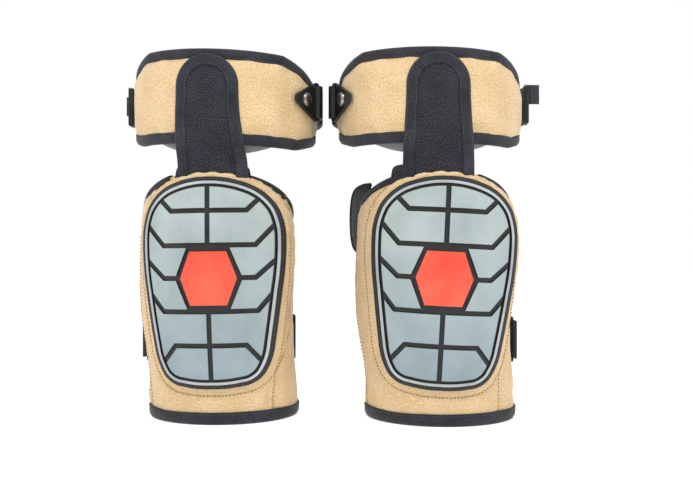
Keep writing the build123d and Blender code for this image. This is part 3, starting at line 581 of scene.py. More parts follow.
for side in SIDES:
    dress(f"{side}_cap_base", CAP_BLACK, 0.8 * MM, 3)
    dress(f"{side}_cap_ring", CAP_LINE, 0.5 * MM)
    dress(f"{side}_cap_panels", CAP_GREY, 0.7 * MM, 3)
    dress(f"{side}_cap_badge", BADGE_RED, 0.6 * MM, 3)
    dress(f"{side}_rivet", NICKEL, 0.4 * MM)
    dress(f"{side}_buckle_plate", NYLON, 0.8 * MM, 3)
    dress(f"{side}_strap_clip", NYLON, 0.6 * MM, 2)
print("dressed", 7 * len(SIDES), "hard nodes")

# %% [markdown]
# ## The cap's outline
# The cover swells round the cap, and a line of stitches follows it, so both need the cap's outline
# and the distance from it. The outline is the hull of the cap's own points seen from the front.


# %% Outline and distance
def hull(points):
    """The convex hull of points in a plane, anticlockwise."""
    points = sorted(set(map(tuple, np.round(points, 6))))
    halves = []
    for run in (points, points[::-1]):
        chain = []
        for p in run:
            while len(chain) > 1:
                a, b = chain[-2], chain[-1]
                if (b[0] - a[0]) * (p[1] - a[1]) - (b[1] - a[1]) * (p[0] - a[0]) > 0:
                    break
                chain.pop()
            chain.append(p)
        halves.append(chain[:-1])
    return np.array(halves[0] + halves[1])


def even_loop(loop, count):
    """A closed line with evenly spaced points."""
    closed = np.vstack([loop, loop[:1]])
    steps = np.linalg.norm(np.diff(closed, axis=0), axis=1)
    along = np.concatenate([[0], steps.cumsum()])
    at = np.linspace(0, along[-1], count, endpoint=False)
    return np.stack([np.interp(at, along, closed[:, k]) for k in (0, 1)], axis=1)


def outside(loop, x, z):
    """Signed distance from a closed line, positive outside, and the share of the way round it."""
    x, z = np.asarray(x), np.asarray(z)
    flat = np.stack([x.ravel(), z.ravel()], axis=1)
    best = np.full(len(flat), 1e9)
    share = np.zeros(len(flat))
    inside = np.ones(len(flat), bool)
    count = len(loop)
    for i in range(count):
        a, b = loop[i], loop[(i + 1) % count]
        edge = b - a
        t = np.clip(((flat - a) @ edge) / (edge @ edge), 0, 1)
        gap = np.linalg.norm(flat - a - t[:, None] * edge, axis=1)
        closer = gap < best
        best = np.where(closer, gap, best)
        share = np.where(closer, (i + t) / count, share)
        inside &= (edge[0] * (flat[:, 1] - a[1]) - edge[1] * (flat[:, 0] - a[0])) > 0
    return np.where(inside, -best, best).reshape(x.shape), share.reshape(x.shape)


for side in SIDES:
    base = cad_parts[f"{side}_cap_base"].data
    seen = np.array([(v.co.x, v.co.z) for v in base.vertices])
    PADS[side]["cap"] = even_loop(hull(seen), 160)
    print(side, "cap outline", len(PADS[side]["cap"]), "points")

# %% [markdown]
# ## The canvas cover
# The cover is one panel of canvas from seam to seam. It rises over the foam pillow under the cap,
# is tacked down by a line of stitches just outside the cap, and gathers from there to the hem and
# the top. The cap's underside lies on a barrel, so the pillow follows the same barrel.


# %% Shape of the cover
PILLOW_EDGE = 7.8 * MM
PINCH = 1.6 * MM
CLOTH_FOOT = 5 * MM
SEAM_VALLEY = 1.6 * MM
SEAM_STITCH_GAP = 2.6 * MM
PUCKER_SEED = {"left": 1.3, "right": 4.1}
SEAMS = {"left": (-70, 61, -66, 49), "right": (-80, 57, -76, 46)}


def barrel_reach(pad, angle, z):
    """Distance from the leg's centre line to the cap's underside."""
    full = pad["knee"] + 8.5 * MM
    sag = 0.7 - np.sqrt(0.49 - (z - (pad["height"] - 92 * MM)) ** 2)
    radius = full - sag
    side_step, front_step = -wrap_lean(z), 3 * MM
    along = side_step * np.sin(angle) + front_step * np.cos(angle)
    return along + np.sqrt(along**2 - side_step**2 - front_step**2 + radius**2)


def seam_angle(side, sign, z):
    """The side seams lean towards the front below the knee."""
    left_high, right_high, left_low, right_low = (radians(a) for a in SEAMS[side])
    low, high = (left_low, left_high) if sign < 0 else (right_low, right_high)
    return low + (high - low) * ease(z, 8 * MM, 115 * MM)


def puckers(share, beyond, seed):
    """Small gathers that start at the stitch line and die away from it."""
    turns = share * 2 * pi
    wave = 0.5 * np.sin(46 * turns + 3 * np.sin(5 * turns + seed)) + 0.5 * np.sin(71 * turns + seed * 2.1)
    return wave * np.exp(-np.maximum(beyond, 0) / (7 * MM)) * ease(beyond, -4 * MM, 1 * MM)


def cover_offset(side, angle, z):
    """How far the cover stands off the plain wrap."""
    pad = PADS[side]
    wrap = wrap_radius(pad, z)
    reach = barrel_reach(pad, angle, z) - 0.6 * MM
    radius = np.where(np.abs(angle) < radians(75), reach, wrap)
    for _ in range(4):
        x = pad["leg"][0] + wrap_lean(z) + radius * np.sin(angle)
        gap, share = outside(pad["cap"], x, z)
        rise = np.sqrt(np.clip(1 - (np.maximum(gap, 0) / PILLOW_EDGE) ** 2, 0, 1))
        radius = 0.5 * radius + 0.5 * (wrap + (reach - wrap) * rise)
    seed = PUCKER_SEED[side]
    beyond = gap - PILLOW_EDGE
    off = radius - wrap
    off = off - 0.9 * MM * np.exp(-((beyond / (1.6 * MM)) ** 2))
    corner = 0.3 + 0.7 * ease(z, pad["height"] - 60 * MM, pad["height"] - 20 * MM)
    off = off + 1.1 * MM * corner * puckers(share, beyond, seed)
    puff = ease(gap, -2 * MM, 3 * MM) * (1 - ease(gap, 5 * MM, PILLOW_EDGE))
    off = off + 0.9 * MM * corner * puff * np.sin(38 * share * 2 * pi + seed)
    low = (1 - ease(z, 20 * MM, 52 * MM)) * ease(z, 12 * MM, 19 * MM)
    s = pad["hem"] * angle
    gather = uneven(s, z * 0.22, 8 * MM, 11 + int(seed)) + 0.9 * uneven(s, z * 0.35, 4.2 * MM, 5 + int(seed))
    off = off + 1.3 * MM * gather * low * ease(beyond, 0, 6 * MM)
    soft = 1.2 * MM * ease(beyond, 0, 10 * MM) * ease(z, 9 * MM, 22 * MM)
    off = off + soft * uneven(s, z, 30 * MM, 7 + int(seed))
    to_edge = np.minimum(wrap_top(pad, angle) - z, (WRAP_HALF - np.abs(angle)) * pad["hem"])
    return off - PINCH * (1 - ease(to_edge, 4 * MM, 16 * MM)) * ease(beyond, -6 * MM, 2 * MM)


def cover_grid(side, columns=150, rows=200):
    """Angles, heights and stand-off of the cover's points, from seam to seam."""
    pad = PADS[side]
    u = np.linspace(0, 1, columns)[:, None]
    v = np.linspace(0, 1, rows)[None, :]
    z = CLOTH_FOOT + v * (pad["height"] - CLOTH_FOOT) + 0 * u
    for _ in range(3):
        start, end = seam_angle(side, -1, z), seam_angle(side, 1, z)
        angle = start + (end - start) * u
        z = CLOTH_FOOT + v * (wrap_top(pad, angle) - 7 * MM)
    off = cover_offset(side, angle, z)
    seam = np.minimum(u, 1 - u) * (end - start) * pad["hem"]
    roll = 0.9 * MM * ease(z, 11 * MM, 18 * MM) * np.exp(-(((seam - 3.2 * MM) / (1.8 * MM)) ** 2))
    off = off - SEAM_VALLEY * np.exp(-((seam / (1.1 * MM)) ** 2)) + roll
    return angle, z, off


STITCHES = {}


def sew(body, colour, line):
    """Note a line of stitches, to be made later with the others of its body and colour."""
    STITCHES.setdefault((body, colour), []).append(np.asarray(line))


for side in SIDES:
    pad = PADS[side]
    angle, z, off = cover_grid(side)
    points = wrap_point(pad, angle, z, off)
    cover = sheet_piece(
        f"{side}_canvas_cover", points, CANVAS, f"{side}_pad",
        [f"{side}_front_cover", f"{side}_knee_cushion"],
    )
    print(cover.name, len(cover.data.polygons), "faces")

# %% [markdown]
# ## Side panels and lining
# A side panel runs from each seam round to the back edge. The seam is a valley between two soft
# ridges, where both panels' edges are turned in and stitched down. The lining is a knitted shell on
# the inside, with the foam between hidden by both.


# %% Side panels and lining
def gusset_grid(side, sign, columns=70, rows=150):
    """Angles, heights and stand-off of a side panel's points, from the seam to the back edge."""
    pad = PADS[side]
    u = np.linspace(0, 1, columns)[:, None]
    v = np.linspace(0, 1, rows)[None, :]
    z = CLOTH_FOOT + v * (pad["height"] - 60 * MM) + 0 * u
    for _ in range(3):
        near = seam_angle(side, sign, z)
        angle = near + (sign * (WRAP_HALF - radians(1)) - near) * u
        z = CLOTH_FOOT + v * (wrap_top(pad, angle) - 7 * MM)
    s = pad["hem"] * angle
    seam = u * np.abs(angle - near) * pad["hem"]
    off = cover_offset(side, angle, z) * (1 - ease(seam, 0, 14 * MM))
    clear = ease(z, 9 * MM, 20 * MM)
    roll = 0.5 * MM * clear * np.exp(-(((seam - 2.6 * MM) / (1.6 * MM)) ** 2))
    off = off - SEAM_VALLEY * np.exp(-((seam / (1.1 * MM)) ** 2)) + roll
    off = off + clear * (0.9 * MM * uneven(s, z, 26 * MM, 31) + 0.5 * MM * uneven(s, z, 9 * MM, 32))
    to_edge = np.minimum(wrap_top(pad, angle) - z, (WRAP_HALF - np.abs(angle)) * pad["hem"])
    off = off - PINCH * (1 - ease(to_edge, 4 * MM, 16 * MM)) * ease(seam, 0, 12 * MM)
    return angle, z, off


for side in SIDES:
    pad = PADS[side]
    for sign, word in ((-1, "left"), (1, "right")):
        angle, z, off = gusset_grid(side, sign)
        sheet_piece(
            f"{side}_side_panel_{word}", wrap_point(pad, angle, z, off), CANVAS, f"{side}_pad",
            [f"{side}_gusset_{word}"], flip=sign < 0,
        )
        heights = np.linspace(15 * MM, 200 * MM, 120)
        at = seam_angle(side, sign, heights) - sign * SEAM_STITCH_GAP / pad["hem"]
        line = wrap_point(pad, at, heights, cover_offset(side, at, heights) + 1.1 * MM)
        sew(f"{side}_pad", "tan", line)
    u = np.linspace(-1, 1, 200)[:, None] * (WRAP_HALF - radians(0.5))
    v = np.linspace(0, 1, 150)[None, :]
    z = CLOTH_FOOT + v * (wrap_top(pad, u) - 8 * MM)
    channel = np.abs((pad["hem"] * u + z * 0.9 + 1.0) % (34 * MM) - 17 * MM)
    cross = np.abs((pad["hem"] * u - z * 0.9 + 1.0) % (34 * MM) - 17 * MM)
    quilt = np.exp(-((channel / (2.2 * MM)) ** 2)) + np.exp(-((cross / (2.2 * MM)) ** 2))
    depth = -WRAP_DEPTH + 0.6 * MM - 0.7 * MM * uneven(pad["hem"] * u, z, 24 * MM, 41)
    depth = depth - 1.0 * MM + 1.3 * MM * np.minimum(quilt, 1)
    lining = sheet_piece(
        f"{side}_wrap_lining", wrap_point(pad, u + 0 * z, z, depth), LINING, f"{side}_pad",
        [f"{side}_lining", f"{side}_foam_core"], flip=True,
    )
print("side panels and linings made")

# %% [markdown]
# ## Binding tape
# Raw edges of a padded sandwich are bound: a tape is folded over the edge and stitched through. Here
# a U-shaped section follows the edge's path on the chart. The edge is pinched thinner than the
# padding beside it, and the tape's own thickness shows as a small step on both faces.


# %% A folded tape along an edge
def tape_section(width, depth, pinch):
    """Points of the folded tape: (distance in from the edge, height off the face cloth)."""
    out = -pinch
    under = -depth + pinch
    outer = [(width, out), (width + 0.1 * MM, out + 1.2 * MM), (width * 0.85, out + 1.7 * MM)]
    outer += [(width * 0.5, out + 2.0 * MM), (width * 0.2, out + 1.5 * MM)]
    turn = [(-0.7 * MM, out - 0.3 * MM), (-1.3 * MM, (out + under) / 2), (-0.7 * MM, under + 0.3 * MM)]
    inner = [(t, out + under - off) for t, off in outer[::-1]]
    return outer + turn + inner


def corner_arc(before, corner, after, radius, count=12):
    """Points of a rounded corner between two straight runs."""
    a = (before - corner) / np.linalg.norm(before - corner)
    b = (after - corner) / np.linalg.norm(after - corner)
    half = np.arccos(np.clip(a @ b, -1, 1)) / 2
    reach = radius / np.tan(half)
    centre = corner + (a + b) / np.linalg.norm(a + b) * radius / np.sin(half)
    first, last = corner + a * reach - centre, corner + b * reach - centre
    start, stop = np.arctan2(first[1], first[0]), np.arctan2(last[1], last[0])
    turn = (stop - start + pi) % (2 * pi) - pi
    at = start + np.linspace(0, 1, count) * turn
    return centre + radius * np.stack([np.cos(at), np.sin(at)], axis=1), reach


def smooth_path(path, step, closed=False):
    """A path with even spacing."""
    path = np.asarray(path)
    if closed:
        length = np.linalg.norm(np.diff(np.vstack([path, path[:1]]), axis=0), axis=1).sum()
        return even_loop(path, int(length / step))
    steps = np.linalg.norm(np.diff(path, axis=0), axis=1)
    along = np.concatenate([[0], steps.cumsum()])
    at = np.linspace(0, along[-1], max(3, int(along[-1] / step)))
    return np.stack([np.interp(at, along, path[:, k]) for k in (0, 1)], axis=1)


def inward_of(path, closed, middle):
    """Unit vectors square to a chart path, pointing towards the middle of the cloth."""
    if closed:
        run = np.roll(path, -2, axis=0) - np.roll(path, 2, axis=0)
    else:
        run = np.gradient(path, axis=0)
    normal = np.stack([-run[:, 1], run[:, 0]], axis=1)
    normal /= np.linalg.norm(normal, axis=1)[:, None]
    flips = np.sign(((middle - path) * normal).sum(axis=1))
    return normal * (np.sign(flips.sum()) or 1)


def tape_rings(path, inward, section, place):
    """Rings of 3-D points for a tape section carried along a chart path."""
    t = np.array([p[0] for p in section])
    off = np.array([p[1] for p in section])
    s = path[:, :1] + inward[:, :1] * t[None, :]
    z = path[:, 1:] + inward[:, 1:] * t[None, :]
    return place(s, z, off[None, :] + 0 * s)


def wrap_chart(pad):
    """The wrap as a flat chart: arc length round the leg, height and stand-off."""
    return lambda s, z, off: wrap_point(pad, s / pad["hem"], z, off)


def cuff_chart(pad):
    """The cuff as a flat chart: arc length round the leg, height and stand-off."""
    return lambda s, z, off: cuff_point(pad, s / pad["cuff_r"], z, off)


# %% Hem, top and back edge bindings
for side in SIDES:
    pad = PADS[side]
    chart = wrap_chart(pad)
    s = np.linspace(-WRAP_HALF, WRAP_HALF, 220) * pad["hem"]
    sag = 0.5 * MM * uneven(s, 0 * s, 40 * MM, 51)
    hem_path = np.stack([s, 1.3 * MM + 0 * s], axis=1)
    section = tape_section(12 * MM, WRAP_DEPTH, 0.0)
    rings = tape_rings(hem_path, np.tile([0.0, 1.0], (len(s), 1)), section, chart)
    rings[:, :6, 2] += sag[:, None] * np.linspace(1, 0, 6)[None, :]
    roll_piece(f"{side}_hem_tape", rings, TAPE, f"{side}_pad", [f"{side}_hem_binding"])
    sew(f"{side}_pad", "black", chart(s, 11.3 * MM + sag, 2.0 * MM + 0 * s))
    parts = []
    for sign in (-1, 1):
        angles = np.linspace(radians(33), WRAP_HALF, 90)
        top = np.stack([angles * pad["hem"], wrap_top(pad, angles)], axis=1)
        corner = top[-1]
        foot = np.array([corner[0], 10 * MM])
        arc, reach = corner_arc(top[-6], corner, foot, 13 * MM)
        path = np.vstack([top[top[:, 0] < corner[0] - reach], arc, [foot]])
        path[:, 0] *= sign
        path = smooth_path(path, 3 * MM)
        inward = inward_of(path, False, np.array([0.0, 120 * MM]))
        parts.append(tape_rings(path, inward, tape_section(7 * MM, WRAP_DEPTH, PINCH), chart))
        sew(f"{side}_pad", "black", chart(*(path + inward * 5.6 * MM).T, 0.5 * MM + 0 * path[:, 0]))
    for sign, rings in zip((-1, 1), parts):
        word = "left" if sign < 0 else "right"
        roll_piece(
            f"{side}_top_tape_{word}", rings, TAPE, f"{side}_pad", [f"{side}_top_binding"],
            flip=sign < 0,
        )
print("wrap bindings made")

# %% [markdown]
# ## Mesh wings
# A D-shaped flap of spacer mesh is sewn along each back edge and closes round the knee's side. It is
# a thin cushion with a bound round edge. The right pad's left wing stands spread to the side.

# %% Wings of spacer mesh
WING_SPREAD = {("left", -1): 8, ("left", 1): 8, ("right", -1): 62, ("right", 1): 8}
WING_REACH = 36 * MM
SPREAD_WING_REACH = 42 * MM
for (side, sign), flare in WING_SPREAD.items():
    pad = PADS[side]
    word = "left" if sign < 0 else "right"
    root = pad["hem"] - WRAP_DEPTH / 2
    turn = WRAP_HALF - radians(90 + flare)
    origin = np.array([
        pad["leg"][0] + wrap_lean(220 * MM) + sign * root * sin(WRAP_HALF),
        pad["leg"][1] - root * cos(WRAP_HALF), 0,
    ])
    out = np.array([-sign * sin(turn), cos(turn), 0])
    face = np.array([-out[1], out[0], 0])
    low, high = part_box(f"{side}_wing_{word}")
    middle, half = (low.z + high.z) / 2, (high.z - low.z) / 2
    u = np.linspace(-1, 1, 60)
    full = SPREAD_WING_REACH if flare > 45 else WING_REACH
    reach = full * (0.5 + 0.5 * np.sqrt(1 - np.abs(u) ** 2.4)) * (1 - 0.5 * np.abs(u) ** 16)
    v = np.linspace(0, 1, 36)
    across = -1 * MM + (reach[:, None] + 1 * MM) * v[None, :]
    up = u[:, None] * half + 0 * across
    body = 1 - np.abs(u[:, None]) ** 10 * np.ones_like(v)[None, :]
    body = np.minimum(body, 1 - v[None, :] ** 12)
    sway = 4 * MM * (across / WING_REACH) ** 2 * sign

    def at(side_off):
        return (
            origin[None, None, :]
            + across[..., None] * out
            + (sway + side_off)[..., None] * face
            + np.stack([0 * up, 0 * up, middle + up], axis=-1)
        )

    swell = 1.9 * MM * np.sqrt(np.clip(body, 0, 1)) + 0.3 * MM * uneven(across, up, 12 * MM, 61)
    swell = np.where(body < 1e-6, 0, swell)
    cushion = cushion_piece(
        f"{side}_mesh_wing_{word}", at(swell), at(-swell), MESH, f"{side}_pad",
        [f"{side}_wing_{word}"],
    )
    edge = np.vstack([at(0 * across)[0, :, :], at(0 * across)[1:-1, -1, :], at(0 * across)[-1, ::-1, :]])
    tangent = np.gradient(edge, axis=0)
    tangent /= np.linalg.norm(tangent, axis=1)[:, None]
    normal = np.cross(tangent, face)
    around = np.linspace(0, 2 * pi, 12, endpoint=False)
    rings = (
        edge[:, None, :]
        + normal[:, None, :] * (2.6 * MM * np.cos(around))[None, :, None]
        + face[None, None, :] * (2.5 * MM * np.sin(around))[None, :, None]
    )
    roll_piece(f"{side}_wing_tape_{word}", rings, TAPE, f"{side}_pad", [])
print("wings made")

# %% [markdown]
# ## The thigh cuff
# The cuff is the same kind of sandwich as the wrap: canvas face, foam and knitted lining, bound all
# round. Its corners are rounded so that the tape can turn them. The face swells between the bindings.


# %% The cuff's outline, face, lining and binding
def cuff_outline(pad):
    """The cuff's rounded outline on its chart."""
    angles = np.linspace(-CUFF_HALF, CUFF_HALF, 160)
    low, high = cuff_edges(pad, angles)
    s = angles * pad["cuff_r"]
    top, bottom = np.stack([s, high], axis=1), np.stack([s, low], axis=1)[::-1]
    right_top, cut_a = corner_arc(top[-8], top[-1], bottom[0], 26 * MM)
    right_low, cut_b = corner_arc(top[-1], bottom[0], bottom[8], 20 * MM)
    left_low, _ = corner_arc(bottom[-8], bottom[-1], top[0], 20 * MM)
    left_top, _ = corner_arc(bottom[-1], top[0], top[8], 26 * MM)
    reach = s[-1]
    top = top[np.abs(top[:, 0]) < reach - cut_a]
    bottom = bottom[np.abs(bottom[:, 0]) < reach - cut_b]
    outline = np.vstack([top, right_top, right_low, bottom, left_low, left_top])
    return smooth_path(outline, 3 * MM, closed=True)


def span_at(loop, s):
    """Lowest and highest point of a closed chart line at each s."""
    low, high = np.full(len(s), 1e9), np.full(len(s), -1e9)
    for a, b in zip(loop, np.roll(loop, -1, axis=0)):
        if abs(b[0] - a[0]) < 1e-9:
            continue
        t = (s - a[0]) / (b[0] - a[0])
        hit = (t >= 0) & (t <= 1)
        z = a[1] + t * (b[1] - a[1])
        low, high = np.where(hit, np.minimum(low, z), low), np.where(hit, np.maximum(high, z), high)
    return low, high


CUFF_PINCH = 2.4 * MM
CUFF_TAPE = 10.5 * MM
for side in SIDES:
    pad = PADS[side]
    chart = cuff_chart(pad)
    loop = cuff_outline(pad)
    inward = inward_of(loop, True, np.array([0.0, sum(pad["cuff_z"]) / 2]))
    inner = loop + inward * 7.5 * MM
    reach = inner[:, 0].max() - 0.3 * MM
    even = np.linspace(-1, 1, 190)
    u = np.sin(even * pi / 2 * 0.98) / sin(pi / 2 * 0.98) * 0.35 + even * 0.65
    s = u * reach
    low, high = span_at(inner, s)
    v = np.linspace(0, 1, 60)[None, :]
    z = low[:, None] + (high - low)[:, None] * v
    s2 = s[:, None] + 0 * z
    from_edge, _ = outside(loop[::-1], s2, z)
    from_edge = np.abs(from_edge)
    swell = -CUFF_PINCH + (CUFF_PINCH + 1.6 * MM) * ease(from_edge, 4 * MM, 24 * MM)
    from_strap = np.abs(s2 + pad["cuff"][0] - pad["strap_x"]) - 38 * MM
    clear = 0.1 + 0.9 * ease(from_strap, 0, 12 * MM)
    folds = 1.6 * MM * clear * uneven(s2, z * 0.12, 19 * MM, 73 if side == "left" else 75)
    wrinkle = folds + clear * (0.7 * MM * uneven(s2, z, 22 * MM, 71) + 0.3 * MM * uneven(s2, z, 8 * MM, 72))
    edge_pucker = 0.5 * MM * np.sin(s2 / (5.2 * MM)) * np.exp(-((from_edge - 12 * MM) / (5 * MM)) ** 2)
    points = chart(s2, z, swell + wrinkle * ease(from_edge, 9 * MM, 20 * MM) + edge_pucker)
    face = sheet_piece(
        f"{side}_cuff_canvas", points, CANVAS, f"{side}_cuff",
        [f"{side}_cuff_face", f"{side}_cuff_foam"],
    )
    under = -CUFF_DEPTH + CUFF_PINCH - (CUFF_PINCH + 0.4 * MM) * ease(from_edge, 4 * MM, 20 * MM)
    sheet_piece(
        f"{side}_cuff_knit", chart(s2, z, under), LINING, f"{side}_cuff",
        [f"{side}_cuff_lining"], flip=True,
    )
    section = tape_section(CUFF_TAPE, CUFF_DEPTH, CUFF_PINCH)
    rings = tape_rings(loop, inward, section, chart)
    roll_piece(
        f"{side}_cuff_tape", rings, TAPE, f"{side}_cuff", [f"{side}_cuff_binding"],
        loop=True, flip=True,
    )
    line = loop + inward * (CUFF_TAPE - 1.2 * MM)
    line = np.vstack([line, line[:1]])
    sew(f"{side}_cuff", "black", chart(line[:, 0], line[:, 1], -CUFF_PINCH + 1.9 * MM + 0 * line[:, 0]))
print("cuffs made")

# %% [markdown]
# ## The inner thigh cushion
# A smooth grey cushion lies inside the cuff and bows out below its lower edge. It is two grids that
# meet along a rounded border.

# %% The inner cushion
for side in SIDES:
    pad = PADS[side]
    low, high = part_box(f"{side}_cuff_cushion")
    outer = pad["cuff_r"] - CUFF_DEPTH - 0.8 * MM
    u = np.linspace(-1, 1, 90)[:, None]
    v = np.linspace(-1, 1, 60)[None, :]
    angle = u * radians(50)
    foot = low.z + (pad["cuff_z"][0] + 4 * MM - low.z) * np.abs(u) ** 2
    head = pad["cuff_z"][1] - 16 * MM - 4 * MM * np.abs(u) ** 4
    z = foot + (head - foot) * (v + 1) / 2
    crown = np.sqrt(np.clip((1 - np.abs(u) ** 8) * (1 - np.abs(v) ** 8), 0, 1))
    angle = angle + 0 * z
    front = cuff_point(pad, angle, z, outer - pad["cuff_r"] - 4.5 * MM + 4.2 * MM * crown)
    back = cuff_point(pad, angle, z, outer - pad["cuff_r"] - 4.5 * MM - 5.5 * MM * crown)
    cushion = cushion_piece(
        f"{side}_thigh_cushion", front, back, NEOPRENE, f"{side}_cuff",
        [f"{side}_cuff_cushion"],
    )
print("cushions made")

# %% [markdown]
# ## The knee strap
# The strap starts under the pillow, crosses the open gap at the knee and lies up the cuff's face to
# a round end. It is loop fabric with a wide tape border. It joins the wrap to the cuff, so both of
# its pieces are baked in place and hang on neither body.


# %% Strap panel, border and cross stitch
def strap_point(side, x, z, off):
    """The strap's face: round the wrap below, on the cuff's face above, and smooth between."""
    pad = PADS[side]
    x, z, off = np.broadcast_arrays(x, z, off)
    low_r = pad["top"] + 4.6 * MM + 3 * MM
    from_leg = x - pad["leg"][0]
    low_y = pad["leg"][1] - np.sqrt(np.maximum((low_r + off) ** 2 - from_leg**2, 0))
    high_r = pad["cuff_r"] + 0.8 * MM + 3 * MM
    from_cuff = x - pad["cuff"][0]
    high_y = pad["cuff"][1] - np.sqrt(np.maximum((high_r + off) ** 2 - from_cuff**2, 0))
    t = ease(z, pad["height"] + 4 * MM, pad["cuff_z"][0] + 4 * MM)
    y = low_y + (high_y - low_y) * t
    return np.stack([x, y, z], axis=-1)


STRAP_HALF = 37.5 * MM
STRAP_END_HALF = 33.5 * MM
STRAP_TAPE = 12 * MM
STRAP_DRIFT = {"left": -4 * MM, "right": -0.5 * MM}
CROSS_STITCH_BELOW_TOP = 69 * MM
CROSS_STITCH_SLOPE = 0.05


def strap_half(pad, z):
    """The strap narrows a little from the knee up to its round end."""
    crown = pad["strap_z"][1] - STRAP_END_HALF
    return STRAP_HALF + (STRAP_END_HALF - STRAP_HALF) * ease(z, pad["height"], crown)


def strap_middle(side, z):
    """The strap's middle line, which leans a little sideways up the cuff."""
    pad = PADS[side]
    return pad["strap_x"] + STRAP_DRIFT[side] * ease(z, pad["height"] - 5 * MM, pad["cuff_z"][0] + 40 * MM)


for side in SIDES:
    pad = PADS[side]
    bend = (
        f"{side}_pad", f"{side}_cuff",
        (pad["strap_x"], pad["leg"][1] - 88 * MM, pad["height"] + 1 * MM),
        (pad["strap_x"], pad["leg"][1] - 88 * MM, pad["height"] + 17 * MM),
    )
    foot, head = pad["height"] - 21 * MM, pad["strap_z"][1]
    crown = head - STRAP_END_HALF
    rows = np.linspace(0, 1, 110)
    u = np.linspace(-1, 1, 44)[:, None]
    end_half = STRAP_END_HALF - STRAP_TAPE + 1 * MM
    top = crown + np.sqrt(np.clip(1 - (u * 0.999) ** 2, 0, 1)) * end_half
    z = foot + (top - foot) * rows[None, :]
    x = strap_middle(side, z) + u * (strap_half(pad, z) - STRAP_TAPE + 1 * MM)
    quilt = -0.9 * MM + 0.35 * MM * uneven(x, z, 14 * MM, 81)
    stitched = z - (head - CROSS_STITCH_BELOW_TOP) + CROSS_STITCH_SLOPE * (x - pad["strap_x"]) * pad["hand"]
    quilt = quilt - 0.7 * MM * np.exp(-((stitched / (1.3 * MM)) ** 2))
    sheet_piece(
        f"{side}_strap_panel", strap_point(side, x, z, quilt), LOOP, bend,
        [f"{side}_knee_strap", f"{side}_strap_root"], thick=1.8 * MM,
    )
    line_x = np.linspace(-1, 1, 40) * (end_half + 2 * MM)
    line_z = head - CROSS_STITCH_BELOW_TOP - CROSS_STITCH_SLOPE * line_x * pad["hand"]
    line = strap_point(side, strap_middle(side, line_z) + line_x, line_z, -0.9 * MM + 0 * line_x)
    sew(f"{side}_cuff", "black", line)
    turn = np.linspace(pi, 0, 70)
    rise = foot + (crown - foot) * rows
    path = np.vstack([
        np.stack([-strap_half(pad, rise), rise], axis=1)[:-1],
        np.stack([STRAP_END_HALF * np.cos(turn), crown + STRAP_END_HALF * np.sin(turn)], axis=1),
        np.stack([strap_half(pad, rise), rise], axis=1)[::-1][1:],
    ])
    path = smooth_path(path, 2.4 * MM)
    inward = inward_of(path, False, np.array([0.0, crown - 60 * MM]))
    section = [
        (STRAP_TAPE, -1.0 * MM), (STRAP_TAPE, 0.1 * MM), (STRAP_TAPE - 1.0 * MM, 0.55 * MM),
        (STRAP_TAPE * 0.5, 0.75 * MM), (1.6 * MM, 0.55 * MM), (0.3 * MM, -0.4 * MM), (0.0, -1.6 * MM),
        (0.4 * MM, -2.7 * MM), (2.0 * MM, -3.2 * MM), (STRAP_TAPE, -3.2 * MM),
    ]
    rings = tape_rings(
        path, inward, section, lambda s, z, off: strap_point(side, strap_middle(side, z) + s, z, off)
    )
    roll_piece(f"{side}_strap_border", rings, TAPE, bend, [f"{side}_knee_strap_binding"])
    for gap in (1.9 * MM, STRAP_TAPE - 1.3 * MM):
        line = (path + inward * gap)[path[:, 1] > pad["cuff_z"][0]]
        x = strap_middle(side, line[:, 1]) + line[:, 0]
        sew(f"{side}_cuff", "black", strap_point(side, x, line[:, 1], 0.75 * MM))
print("knee straps made")

# %% [markdown]
# ## The leaf behind the strap
# A short bound leaf stands up behind the strap from the top of the wrap.

# %% The back leaf
LEAF_THICK = 2.4 * MM
for side in SIDES:
    pad = PADS[side]
    low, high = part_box(f"{side}_back_leaf")
    reach = pad["top"] + 2.2 * MM
    half = (high.x - low.x) / 2
    centre = (high.x + low.x) / 2 - pad["leg"][0]
    start = np.arcsin((centre - half) / (reach + LEAF_THICK))
    end = np.arcsin((centre + half) / (reach + LEAF_THICK))
    angles = np.linspace(start, end, 60)
    span = high.z - low.z - 1 * MM
    section = [
        (0.0, 0.0), (span * 0.4, 0.1 * MM), (span - 7 * MM, 0.2 * MM), (span - 6.6 * MM, 0.9 * MM),
        (span - 3 * MM, 1.2 * MM), (span, 0.5 * MM), (span + 0.6 * MM, -1.0 * MM), (span, -2.3 * MM),
        (span - 6.6 * MM, -2.6 * MM), (span * 0.4, -2.3 * MM), (0.0, -2.2 * MM),
    ]
    rounding = np.sqrt(np.clip(1 - np.abs(np.linspace(-1, 1, 60)) ** 14, 0, 1))
    rings = np.zeros((60, len(section), 3))
    for j, (up, off) in enumerate(section):
        radius = reach + LEAF_THICK + off
        rings[:, j, 0] = pad["leg"][0] + radius * np.sin(angles)
        rings[:, j, 1] = pad["leg"][1] - radius * np.cos(angles)
        rings[:, j, 2] = low.z + up * (0.55 + 0.45 * rounding)
    roll_piece(f"{side}_leaf", rings, LOOP, f"{side}_pad", [f"{side}_back_leaf"], flip=True)
print("leaves made")

# %% [markdown]
# ## Elastic straps
# Elastic webbing shows long ribs, so its section is a row of small waves. The thigh strap ends in a
# folded hem with a webbing pull, and the calf strap in a tab of hook tape.


